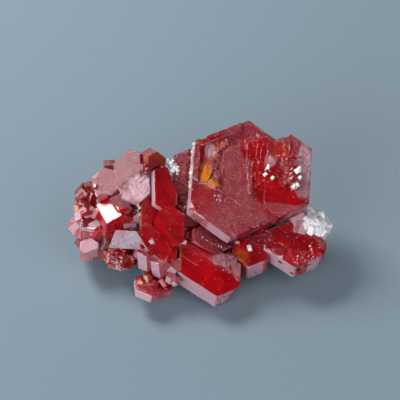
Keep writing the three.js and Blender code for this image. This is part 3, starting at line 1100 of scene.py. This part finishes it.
def lower_right_details(piece, seat):
    """The clipped corner, the hollows in the rough side face, and the notch in the smooth one."""
    trim_on(piece, seat, ((6.1, -3.1, 0.80, -0.60),))
    rough_face = Vector((0.39, -0.89, -0.23)).normalized()
    smooth_face = Vector((-0.60, -0.78, -0.19)).normalized()
    rough_side = Vector((0.92, 0.40, 0.0))
    smooth_side = Vector((0.79, -0.61, 0))
    for place, face, side, reach, depth in (
            (spot(14.45, -7.25, 3.95), rough_face, rough_side, (1.1, 0.40, 0.35, 1.3, 0.3, 0.35), 0.95),
            (spot(15.7, -6.75, 4.5), rough_face, rough_side, (0.7, 0.25, 0.3, 0.6, 0.25, 0.2), 0.95),
            (spot(13.6, -7.55, 3.3), rough_face, rough_side, (0.5, 0.2, 0.3, 0.4, 0.25, 0.2), 0.95),
            (spot(11.68, -6.41, 4.70), smooth_face, smooth_side, (0.75, 0.3, 0.25, 0.7, 0.25, 0.3), 0.75)):
        cutter = crystal(place + face * 0.4 * MM, face, side, [part * MM for part in reach], depth * MM)
        add_solid(piece, cutter, "DIFFERENCE")


class SPECIMEN_OT_lower_right_plates(bpy.types.Operator):
    """The two plates under the broad one, on the right"""
    bl_idname = "specimen.lower_right_plates"
    bl_label = "Lower right plates"

    def execute(self, context):
        grow("lower_right_plates", "vanadinite", "vanadinite", 31, layers=16, widest=1.6 * MM, nibbles=18,
             top_level=0.14, top_dust=(Patch(-3.0, 0.5, 2.4, 1.8, 0.5), Patch(6.4, -0.6, 0.9, 1.2, 0.9)),
             amber=(Patch(-5.9, -3.0, 1.6, 1.8, 0.42),), details=lower_right_details,
             bare=(Patch(-5.9, -3.4, 1.5, 1.7, 0.95), Patch(-1.4, -3.9, 1.0, 1.3, 0.8),
                   Patch(3.2, -4.1, 1.0, 1.0, 0.8)),
             rough=(Patch(4.2, -3.6, 2.4, 1.6, 1.0), Patch(-3.0, 0.5, 2.4, 1.8, 0.6)))
        return {"FINISHED"}


def middle_blades_shape(seat):
    """Two red blades, the block under them, and the small tablet at its foot."""
    leaf, leaf_side = stance(40, -62, 5)
    behind, behind_side = stance(38, -60, 6)
    low, low_side = stance(22, -25, 0)
    foot, foot_side = stance(20, -50, 4)
    wear = 0.06 * MM
    front = build([(spot(-4.41, -3.91, 9.2), leaf, leaf_side, (2.3, 3.0, 3.0, 2.4, 1.9, 2.7), 2.2)], wear)
    trim_on(front, seat, ((-0.2, 3.6, -0.32, 0.95), (-0.4, 2.3, -0.99, 0.15), (0.5, -0.5, -0.78, -0.63)))
    add_solid(front, build([
        (spot(-7.61, -0.81, 9.5), behind, behind_side, (1.5, 2.2, 1.8, 1.0, 4.0, 4.0), 2.4),
        (spot(-6.11, -5.71, 7.3), low, low_side, (3.0, 4.1, 3.8, 2.7, 1.6, 2.9), 3.4),
        (spot(-4.01, -7.51, 4.4), foot, foot_side, (0.9, 1.6, 1.6, 0.6, 0.7, 1.2), 1.9),
    ], wear))
    return front


def upright_blade_details(piece, seat):
    """The blade's slanting right side."""
    trim_on(piece, seat, ((0.5, 2.7, 0.93, 0.36),))


def lilac_wedge_shape(seat):
    """A slanting four-sided face that ends in a point on the right."""
    wedge = crystal(seat.at(-1, -1.8, 0.9), seat.out, seat.across, [3.6 * MM] * SIX, 2.4 * MM)
    trim_on(wedge, seat, ((-1, -0.55, 0, 1), (0.3, -0.5, 0.82, 0.58), (-1, -3.0, 0, -1),
                          (-2.9, -0.7, -0.92, 0.39)))
    round_edges(wedge, 0.05 * MM)
    return wedge


class SPECIMEN_OT_left_blades(bpy.types.Operator):
    """The upright blade, the blades under it, the pale-faced wedge and the lilac tablets"""
    bl_idname = "specimen.left_blades"
    bl_label = "Left blades"

    def execute(self, context):
        grow("upright_blade", "vanadinite", "vanadinite", 41, layers=0, nibbles=4, top_level=0.03,
             details=upright_blade_details)
        grow("middle_blades", "vanadinite", "vanadinite", 42, layers=7, widest=0.8 * MM, top_level=0.10,
             shape=middle_blades_shape, height=0.07 * MM, nibbles=5, side_bloom=0.35, other_bloom=0.04,
             amber=(Patch(-2.6, 1.6, 0.7, 2.6, 0.12),))
        grow("lilac_wedge", "pale_vanadinite", "lilac_vanadinite", 43, layers=0, other_bloom=0.1,
             side_bloom=0.3, top_level=1.0, wave=0.05 * MM, shape=lilac_wedge_shape)
        # The tablets' upright faces look towards the front lamp; their full film is a pale film that is
        # mostly painted sheen.
        film = 1.0
        cluster("lilac_tablets", "vanadinite", "vanadinite", (
            (spot(-8.39, -7.35, 5.62), 88, -119, 64, 1.55, 3.1, film),
            (spot(-6.48, -8.46, 5.25), 86, -122, 66, 1.40, 2.8, film),
            (spot(-4.12, -8.65, 5.17), 88, -116, 34, 1.15, 1.5, film),
            (spot(-4.64, -9.74, 4.41), 84, -125, 50, 0.80, 1.2, film),
            (spot(-3.76, -10.27, 4.15), 88, -112, 20, 0.70, 0.9, film),
            (spot(-4.35, -8.09, 5.29), 70, -100, 60, 0.80, 1.1, 0.3, 0.3),
            (spot(-8.77, -10.05, 3.90), 62, -110, 40, 0.65, 1.3, 0.0, 0.0, 0.35),
            (spot(-7.57, -10.58, 3.80), 50, -80, 10, 0.70, 1.4, 0.0, 0.1, 0.1),
            (spot(-6.41, -10.14, 3.80), 44, -60, 75, 0.70, 1.3, 0.0, 0.2),
            (spot(-5.38, -9.79, 3.80), 56, -95, 120, 0.65, 1.4),
            (spot(-7.86, -9.49, 4.30), 60, -115, 85, 0.70, 1.2, 0.0, 0.0, 0.2),
            (spot(-7.40, -5.50, 7.70), 50, -110, 20, 0.60, 1.5, 0.7),
        ))
        return {"FINISHED"}


def pale_plates_details(piece, seat):
    """The top right corner of the largest plate, which goes on behind the brown barrel."""
    side = Matrix.Rotation(math.radians(30), 3, seat.out) @ seat.across
    corner = crystal(seat.at(1.5, 1.95, -0.05), seat.out, side,
                     [part * MM for part in (1.9, 1.60, 1.8, 1.8, 1.9, 1.9)], 1.1 * MM)
    round_edges(corner, 0.06 * MM)
    add_solid(piece, corner)


class SPECIMEN_OT_pale_plates(bpy.types.Operator):
    """The dusty pink plates at the back left, and the plate behind the broad one"""
    bl_idname = "specimen.pale_plates"
    bl_label = "Pale plates"

    def execute(self, context):
        grow("pale_plates", "pale_vanadinite", "pale_vanadinite", 51, layers=3, widest=2.6 * MM, nibbles=14,
             height=0.05 * MM, top_level=0.85, other_bloom=0.35, wave=0.3 * MM, details=pale_plates_details,
             top_dust=(Patch(2.4, -2.2, 2.8, 2.6, 1.0), Patch(0.5, 2.0, 1.8, 1.6, -0.25)),
             frost=(Patch(2.7, -2.3, 2.2, 2.2, 0.62), Patch(-0.2, -3.6, 1.2, 1.0, 0.5),
                    Patch(-4.6, 0.4, 0.8, 1.0, 0.4)),
             rough=(Patch(2.6, -2.6, 2.6, 2.6, 0.9),))
        grow("back_plate", "pale_vanadinite", "vanadinite", 52, layers=5, widest=1.2 * MM, top_level=0.7,
             nibbles=8, height=0.06 * MM, rough=(Patch(0.0, 0.0, 3.0, 4.0, 0.7),))
        return {"FINISHED"}


class SPECIMEN_OT_brown_barrel(bpy.types.Operator):
    """The iron-stained barrel at the back"""
    bl_idname = "specimen.brown_barrel"
    bl_label = "Brown barrel"

    def execute(self, context):
        grow("brown_barrel", "brown_vanadinite", "brown_vanadinite", 61, layers=2, widest=1.0 * MM,
             side_bloom=0.05, other_bloom=0.0, nibbles=6, height=0.06 * MM,
             amber=(Patch(-2.4, -0.6, 1.2, 2.4, 0.20),))
        return {"FINISHED"}


class SPECIMEN_OT_left_end(bpy.types.Operator):
    """The mirror-faced block, the cluster at the left end and the red crystals that fill the gaps"""
    bl_idname = "specimen.left_end"
    bl_label = "Left end"

    def execute(self, context):
        grow("bright_block", "vanadinite", "vanadinite", 71, layers=0, wave=0.0, depth=0.01 * MM,
             side_bloom=0.10, other_bloom=0.08)
        grow("left_end_crystals", "pale_vanadinite", "vanadinite", 72, layers=6, widest=0.9 * MM,
             top_level=0.6, height=0.06 * MM)
        # painted shade: this low block gets little film on the faces towards the front lamp, so its
        # underside stays dark red
        grow("lower_left_block", "pale_vanadinite", "lilac_vanadinite", 73, layers=0, top_level=0.85,
             side_bloom=0.30, other_bloom=0.75, nibbles=5)
        # Most of these faces look to the front left; their film values paint a pale sheen there as well as
        # the real film.
        cluster("left_end_blocks", "pale_vanadinite", "vanadinite", (
            (spot(-17.30, 1.55, 8.70), 52, -100, 70, 1.25, 1.7, 0.9),
            (spot(-17.60, 0.30, 8.00), 48, -115, 28, 1.20, 2.1, 0.85),
            (spot(-16.20, 0.25, 8.10), 50, -70, 55, 0.95, 2.0, 0.8),
            (spot(-15.55, -1.30, 7.30), 38, -110, 22, 1.00, 1.7, 1.0),
            (spot(-18.30, 0.90, 8.30), 55, -120, 80, 0.80, 1.2, 0.1, 0.3, 0.7),
            (spot(-17.10, -1.30, 6.60), 60, -85, 100, 1.10, 1.9, 0.7),
            (spot(-16.10, -0.60, 7.10), 40, -60, 120, 0.80, 1.4, 0.0, 0.1),
            (spot(-14.90, -2.60, 6.10), 66, -75, 60, 1.00, 2.2, 0.0, 0.1),
            # These two face the key lamp as mirrors; their film paints the mirror face paler too, a painted
            # highlight.
            (spot(-14.75, 2.20, 10.55), *GLINT, 18, 0.95, 1.55, 0.6),
            (spot(-15.50, 2.35, 11.75), *GLINT, 80, 0.45, 0.70, 0.4),
            (spot(-18.37, -0.71, 5.94), 64, -110, 30, 1.40, 2.2, 0.7, 0.3),
            (spot(-17.14, -1.65, 5.85), 54, -80, 75, 1.20, 2.0, 0.5, 0.2, 0.1),
            (spot(-16.08, -2.65, 5.50), 60, -60, 15, 1.30, 2.2, 0.3, 0.5),
            (spot(-17.90, -0.05, 7.16), 58, -120, 10, 1.10, 1.6, 0.9),
            (spot(-15.43, -0.30, 8.60), 30, -140, 60, 0.70, 1.6, 0.3),
            (spot(-14.86, -2.81, 3.60), 80, -50, 60, 2.20, 3.4, 0.2, 0.7),
            (spot(-13.60, -3.10, 3.40), 70, -80, 40, 1.80, 3.0, 0.1, 0.3),
            (spot(-12.95, -4.00, 1.60), 60, -90, 5, 0.60, 1.5, 0.9),
        ))
        cluster("left_red_blocks", "brown_vanadinite", "brown_vanadinite", (
            (spot(-11.05, 0.10, 10.35), 50, -48, 132, 1.35, 3.0, 0.25, 0.85),
            (spot(-13.33, 5.30, 12.35), 60, -80, 5, 1.10, 1.60, 0.0, 0.2),
            (spot(-15.98, 2.80, 10.30), 46, -70, 20, 1.40, 1.8),
            (spot(-16.54, 2.15, 9.78), 60, -120, 50, 1.10, 1.6),
            (spot(-14.93, 3.20, 10.80), 50, -90, 100, 1.20, 1.6),
            (spot(-17.60, 2.20, 10.10), 50, -120, 35, 1.50, 1.7),
            (spot(-16.90, 2.00, 10.00), 40, -60, 80, 1.20, 1.7, 0.0, 0.1),
            (spot(-16.60, -1.00, 7.35), 50, -80, 10, 1.00, 1.4),
            (spot(-15.00, -1.90, 5.90), 60, -70, 40, 1.20, 2.0),
            (spot(-9.90, 1.60, 8.60), 50, -80, 20, 1.30, 2.6),
            (spot(-9.30, 0.20, 8.60), 40, -60, 70, 1.20, 2.6),
            (spot(-10.40, 0.60, 8.50), 55, -110, 100, 1.10, 2.4, 0.0, 0.2),
            (spot(-9.50, -1.30, 8.00), 60, -90, 45, 1.20, 2.2, 0.5, 0.5),
            (spot(-3.40, 1.70, 9.20), 50, -60, 25, 1.80, 3.6),
            (spot(-2.60, 0.50, 9.30), 45, -90, 80, 1.60, 3.2, 0.0, 0.1),
            (spot(-2.10, -0.90, 9.00), 50, -75, 50, 1.60, 3.0),
            (spot(-1.50, -1.90, 8.60), 55, -60, 10, 1.50, 2.8, 0.0, 0.2),
            (spot(-3.00, -1.00, 8.90), 50, -100, 120, 1.50, 2.8),
            (spot(-3.30, -3.40, 5.80), 60, -70, 30, 1.50, 3.2),
            (spot(-2.90, -4.60, 6.00), 60, -100, 60, 1.30, 2.6),
            (spot(-3.10, -2.60, 7.20), 60, -80, 95, 1.50, 2.6, 0.0, 0.1),
        ))
        cluster("tan_crystal", "brown_vanadinite", "brown_vanadinite", (
            (spot(-10.25, -2.05, 7.85), 30, -90, 4, 0.75, 2.00, 0.55, 0.9, 0.45, 0.30 * MM),
            (spot(-9.75, -2.30, 7.55), 50, -70, 12, 0.60, 1.30, 0.30, 0.9, 0.45, 0.22 * MM),
        ))
        return {"FINISHED"}


class SPECIMEN_OT_foot_and_fringe(bpy.types.Operator):
    """The crystal low in front and the small ones beside it"""
    bl_idname = "specimen.foot_and_fringe"
    bl_label = "Foot and fringe"

    def execute(self, context):
        grow("foot_crystal", "vanadinite", "vanadinite", 81, layers=8, widest=1.4 * MM, top_level=0.25)
        grow("fringe_crystals", "vanadinite", "vanadinite", 82, layers=6, widest=0.8 * MM, top_level=0.1,
             side_bloom=0.45, other_bloom=0.08)
        host = bpy.data.objects["finished_fringe_crystals"]
        druse("fringe_druse", host, 90, 83, lambda point, out: out.z > -0.5, 0.35, 0.85, film=0.3)
        return {"FINISHED"}


class SPECIMEN_OT_tucked_crystal(bpy.types.Operator):
    """The rough crystal tucked under the broad plate"""
    bl_idname = "specimen.tucked_crystal"
    bl_label = "Tucked crystal"

    def execute(self, context):
        grow("tucked_crystal", "brown_vanadinite", "brown_vanadinite", 91, layers=14, widest=0.8 * MM,
             top_level=0.3, nibbles=12, side_bloom=0.3, depth=0.14 * MM)
        return {"FINISHED"}


class SPECIMEN_OT_rear_crystals(bpy.types.Operator):
    """The plates and prisms that cover the back"""
    bl_idname = "specimen.rear_crystals"
    bl_label = "Rear crystals"

    def execute(self, context):
        for node, seed, layers, widest, level in (
                ("rear_plates", 101, 16, 2.4, 0.35), ("rear_left_prisms", 102, 5, 1.2, 0.5),
                ("rear_right_prisms", 103, 5, 1.2, 0.3), ("rear_foot_prisms", 104, 5, 1.2, 0.3)):
            grow(node, "vanadinite", "vanadinite", seed, layers=layers, widest=widest * MM, top_level=level)
        return {"FINISHED"}


class SPECIMEN_OT_barite_tuft(bpy.types.Operator):
    """The white splintery tuft on the right"""
    bl_idname = "specimen.barite_tuft"
    bl_label = "Barite tuft"

    def execute(self, context):
        piece = merged_copy("barite_tuft", "finished_barite_tuft")
        round_edges(piece, 0.05 * MM)
        refine(piece, 0.25 * MM)
        ripple(piece, 0.25 * MM, 0.35 * MM, "VORONOI")
        smooth(piece)
        hand_over(piece, "barite", finish("barite"), "barite_tuft")
        chance = random.Random(44)
        blades = []
        for place in (spot(16.01, 1.18, 7.39), spot(16.73, -0.62, 8.60), spot(17.75, -0.65, 8.30),
                      spot(18.30, -0.60, 7.39), spot(16.38, -1.94, 8.40), spot(17.37, -2.04, 8.10),
                      spot(18.20, -1.71, 7.10), spot(16.69, -2.76, 7.43), spot(17.66, -3.00, 7.20),
                      spot(15.40, -0.56, 7.60), spot(16.90, -1.30, 8.60), spot(15.90, -1.40, 8.10)):
            for _ in range(2):
                shift = Vector([chance.uniform(-0.35, 0.35) * MM for _ in range(3)])
                blades.append((place + shift, 42 + chance.uniform(-24, 24), -95 + chance.uniform(-50, 50),
                               chance.uniform(0, 180), chance.uniform(0.5, 1.0), chance.uniform(0.9, 1.7)))
        cluster("barite_blades", "barite", "barite", blades)
        cluster("tuft_foot", "pale_vanadinite", "pale_vanadinite", (
            (spot(14.60, -0.90, 7.90), 36, -80, 30, 1.5, 2.2, 0.5, 0.7),
            (spot(15.20, -2.20, 7.40), 46, -60, 80, 1.2, 1.8, 0.6, 0.7),
            (spot(13.90, -0.60, 7.50), 30, -110, 60, 1.1, 1.6, 0.3, 0.5),
        ))
        return {"FINISHED"}


class SPECIMEN_OT_matrix(bpy.types.Operator):
    """The rock that the crystals grow on"""
    bl_idname = "specimen.matrix"
    bl_label = "Matrix"

    def execute(self, context):
        piece = merged_copy("matrix", "finished_matrix")
        refine(piece, 0.4 * MM)
        ripple(piece, 0.35 * MM, 1.2 * MM)
        smooth(piece, 60)
        trees = [BVHTree.FromObject(node, context.evaluated_depsgraph_get())
                 for name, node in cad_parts.items() if name != "matrix"]
        # painted shade: the nearer a face is to a crystal, the darker it is
        paint(piece, "crevice_shade", lambda point, normal: 1 - ramp(
            min(tree.find_nearest(point)[3] for tree in trees), 0.5 * MM, 2.4 * MM))
        hand_over(piece, "rock", finish("rock"), "matrix")
        return {"FINISHED"}


class SPECIMEN_OT_crumbs(bpy.types.Operator):
    """The crumbs between the crystals, white specks and small white crystals painted as glints, and small
    crystals that mirror the key lamp
    """
    bl_idname = "specimen.crumbs"
    bl_label = "Crumbs and glints"

    def execute(self, context):
        chance = random.Random(19)
        back = [spot(-4.6 + 1.3 * part + chance.uniform(-0.3, 0.3), 5.4 - 1.9 * part, 13.9 - 0.7 * part)
                for part in (chance.random() for _ in range(46))]
        crumbs("white_crumbs", "barite", "barite", back, 0.62 * MM, 3, 0.35)
        gap = [spot(-9.05 + 0.01 * step, 0.45 - 0.11 * step, 10.3 - 0.10 * step) for step in range(16)]
        crumbs("cream_crumbs", "rock", "crumb", gap, 0.50 * MM, 4, 0.22)
        lower = [spot(-9.1 - 0.2 * step, 0.6, 10.15 + 0.03 * step) for step in range(6)]
        crumbs("plate_crumbs", "barite", "barite", lower, 0.32 * MM, 9, 0.22)
        # painted highlights: white specks that stand for the glints on the tucked crystal
        tucked_glint_places = [spot(0.2 + 0.2 * step, -4.0 - 0.05 * step, 7.35 - 0.09 * step) for step in range(16)]
        crumbs("tucked_sparkle", "barite", "barite", tucked_glint_places, 0.17 * MM, 10, 0.30)
        plate = seat_of_node("broad_plate")
        # Cream crumbs along the plate's left rim; they are partly real crumbs and partly a painted
        # highlight along that rim.
        rim = [plate.at(-8.35 - 0.02 * step, 3.8 - 0.32 * step, -0.35) for step in range(22)]
        crumbs("rim_crumbs", "rock", "crumb", rim, 0.50 * MM, 5, 0.16)
        crack = [plate.at(across, along, -0.62) for across, along in (
            (-5.2, -3.4), (-5.0, -4.0), (-4.8, -4.5), (-4.3, -4.7), (-3.7, -5.0), (-3.4, -4.6),
            (-4.6, -3.9))]
        crumbs("crack_crumbs", "barite", "barite", crack, 0.26 * MM, 6, 0.20)
        # painted highlights: tiny white specks over the upward faces, standing for their glints
        for node, count, across in (
                ("broad_plate", 190, 0.13), ("lower_right_plates", 60, 0.11), ("front_slab", 36, 0.09),
                ("middle_blades", 50, 0.10), ("back_plate", 60, 0.12), ("left_end_crystals", 30, 0.16),
                ("foot_crystal", 24, 0.14), ("pale_plates", 24, 0.12)):
            piece = bpy.data.objects["finished_" + node]
            upper = [face.center.copy() for face in piece.data.polygons if face.normal.z > 0.45]
            picks = random.Random(count).sample(upper, count)
            crumbs("sparkle_" + node, "barite", "barite", picks, across * MM, count, 0.03)
        # painted highlights: small white crystals that stand for glints: a square on the lower right
        # plates, two crescents beside it, and spots on the lobe turned towards the key lamp
        cluster("white_square", "barite", "barite", (
            (spot(7.2, -4.6, 5.95), 24, -110, 12, 0.62, 0.62),
            (spot(15.75, -4.95, 6.15), 30, -120, 40, 0.20, 1.10),
            (spot(16.15, -5.45, 6.05), 30, -120, 75, 0.20, 0.80),
            (spot(14.1, 2.9, 14.45), *GLINT, 20, 0.45, 0.80),
            (spot(14.4, 3.2, 14.45), *GLINT, 65, 0.36, 0.65),
            (spot(13.6, 0.7, 13.40), *GLINT, 70, 0.30, 0.80),
            (spot(14.0, 0.9, 13.40), *GLINT, 20, 0.35, 0.70),
            (spot(14.5, 2.0, 13.90), *GLINT, 50, 0.30, 0.50),
            (spot(9.9, 3.6, 14.42), *GLINT, 75, 0.28, 0.80),
            (spot(9.5, 2.6, 13.90), *GLINT, 30, 0.35, 0.60),
            (spot(10.5, 1.9, 13.95), *GLINT, 50, 0.28, 0.50),
        ))
        # Small red crystals turned to mirror the key lamp; their film of 0.3 also paints a pale highlight
        # on their mirror faces.
        scatter = random.Random(31)
        sparks = []
        for across, back, up, spread in (
                (14.1, 2.6, 14.0, 1.0), (13.7, 0.8, 13.2, 0.6), (9.8, 3.2, 13.9, 0.6)):
            for _ in range(9):
                shift = [scatter.uniform(-spread, spread) for _ in range(2)]
                rise = up - 0.16 * shift[0] + 0.44 * shift[1] + scatter.uniform(-0.05, 0.2)
                sparks.append((spot(across + shift[0], back + shift[1], rise), 21 + scatter.uniform(-7, 7),
                               -158 + scatter.uniform(-16, 16), scatter.uniform(0, 90),
                               scatter.uniform(0.15, 0.38), scatter.uniform(0.2, 0.6), 0.3))
        cluster("lobe_sparks", "vanadinite", "vanadinite", sparks)
        return {"FINISHED"}


class SPECIMEN_OT_druse(bpy.types.Operator):
    """The many small crystals that cover the rock between the large ones"""
    bl_idname = "specimen.druse"
    bl_label = "Druse"

    def execute(self, context):
        rock_piece = bpy.data.objects["finished_matrix"]
        others = [piece for piece in bpy.data.objects
                  if piece.type == "MESH" and piece.name.startswith("finished_") and piece != rock_piece]
        druse("rock_druse", rock_piece, 420, 7, lambda point, out: point.z > 1.0 * MM and out.z > -0.4,
              keep_off=others)
        return {"FINISHED"}


# ---------------------------------------------------------------------------
# studio
# ---------------------------------------------------------------------------

def placed(name, data, place, aim):
    """An object at a place, turned to face its aim."""
    holder = bpy.data.objects.new(name, data)
    bpy.context.scene.collection.objects.link(holder)
    holder.location = place
    holder.rotation_euler = (aim - place).to_track_quat("-Z", "Y").to_euler()
    return holder


def lamp(name, aim, way, distance, width, power, tint):
    """A round soft lamp, some way off from its aim."""
    light = bpy.data.lights.new(name, "AREA")
    light.shape = "DISK"
    light.size = width
    light.energy = power
    light.color = tint
    return placed(name, light, aim + Vector(way).normalized() * distance, aim)


def studio_floor(middle, level):
    """The wide matt sheet that the specimen lies on."""
    bpy.ops.object.select_all(action="DESELECT")
    bpy.ops.mesh.primitive_plane_add(size=sizes().floor_size, location=(middle.x, middle.y, level))
    floor = settle(bpy.context.object, "studio_floor")
    cloth = Finish("studio_floor")
    tone = colours().floor
    weave = cloth.fit(cloth.noise(0.5 * MM, 5.0, 0.7), 0.3, 0.7, 0.35, 0.65)
    darker = tuple(part * 0.88 for part in tone[:3]) + (1,)
    lighter = tuple(min(part * 1.12, 1) for part in tone[:3]) + (1,)
    cloth.look(colour=cloth.mix(weave, darker, lighter), roughness=0.9, gloss=0.1)
    floor.data.materials.append(cloth.material)
    return floor


def studio_camera(target):
    """The camera, which looks down at the specimen from in front."""
    camera = bpy.data.cameras.new("camera")
    camera.lens = CAMERA_LENS
    camera.sensor_width = CAMERA_SENSOR
    camera.clip_start = CAMERA_NEAR
    place = target + CAMERA_WAY.normalized() * CAMERA_REACH
    bpy.context.scene.camera = placed("camera", camera, place, target)


def studio_air():
    """A pale wall all round, low down, that fades towards the right and is dark above."""
    world = bpy.data.worlds.new("studio_air")
    world.use_nodes = True
    air = Nodes(world.node_tree)
    parts = air.node("ShaderNodeSeparateXYZ")
    air.link(air.node("ShaderNodeTexCoord").outputs["Generated"], parts.inputs["Vector"])
    ring = air.fit(parts.outputs["Z"], 0.36, 0.58, 0.95, 0.04)
    right_wall = air.fit(parts.outputs["X"], -0.15, 0.55, 1.0, 0.10)
    background = air.tree.nodes["Background"]
    background.inputs["Color"].default_value = (0.88, 0.94, 1.0, 1)
    air.link(air.times(ring, right_wall), background.inputs["Strength"])
    bpy.context.scene.world = world


class SPECIMEN_OT_stage(bpy.types.Operator):
    """The pale floor, the soft lights and the camera"""
    bl_idname = "specimen.stage"
    bl_label = "Stage"

    def execute(self, context):
        low, high = (Vector(corner) for corner in CAD_BOX)
        middle = (low + high) / 2
        floor = studio_floor(middle, low.z)
        target = middle + CAMERA_TARGET
        studio_camera(target)
        lamps = {name: lamp(name, target, *values) for name, values in LAMPS.items()}
        lamps["fill"].visible_glossy = False
        studio_air()
        context.scene.view_settings.view_transform = "Standard"
        return {"FINISHED"}


# ---------------------------------------------------------------------------
# panel, registration and the run
# ---------------------------------------------------------------------------

STEPS = (
    SPECIMEN_OT_matrix,
    SPECIMEN_OT_broad_plate,
    SPECIMEN_OT_front_slab,
    SPECIMEN_OT_lower_right_plates,
    SPECIMEN_OT_left_blades,
    SPECIMEN_OT_pale_plates,
    SPECIMEN_OT_brown_barrel,
    SPECIMEN_OT_left_end,
    SPECIMEN_OT_foot_and_fringe,
    SPECIMEN_OT_tucked_crystal,
    SPECIMEN_OT_rear_crystals,
    SPECIMEN_OT_barite_tuft,
    SPECIMEN_OT_crumbs,
    SPECIMEN_OT_druse,
    SPECIMEN_OT_stage,
)


class SPECIMEN_PT_panel(bpy.types.Panel):
    """Sizes, colours and the steps that make the specimen"""
    bl_idname = "SPECIMEN_PT_panel"
    bl_label = "Specimen"
    bl_space_type = "VIEW_3D"
    bl_region_type = "UI"
    bl_category = "Specimen"

    def draw(self, context):
        for group in (context.scene.specimen_sizes, context.scene.specimen_colours):
            for name in group.bl_rna.properties.keys():
                if name not in ("rna_type", "name"):
                    self.layout.prop(group, name)
        for step in STEPS:
            self.layout.operator(step.bl_idname)


CLASSES = (SpecimenSizes, SpecimenColours, *STEPS, SPECIMEN_PT_panel)


def register():
    """Makes the sizes, the colours, the steps and the panel known."""
    for item in CLASSES:
        bpy.utils.register_class(item)
    bpy.types.Scene.specimen_sizes = bpy.props.PointerProperty(type=SpecimenSizes)
    bpy.types.Scene.specimen_colours = bpy.props.PointerProperty(type=SpecimenColours)


def unregister():
    """Takes them away again."""
    del bpy.types.Scene.specimen_colours
    del bpy.types.Scene.specimen_sizes
    for item in reversed(CLASSES):
        bpy.utils.unregister_class(item)


def main():
    """Makes the specimen step by step."""
    register()
    for step in STEPS:
        family, name = step.bl_idname.split(".")
        getattr(getattr(bpy.ops, family), name)()
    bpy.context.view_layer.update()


if __name__ == "__main__":
    main()
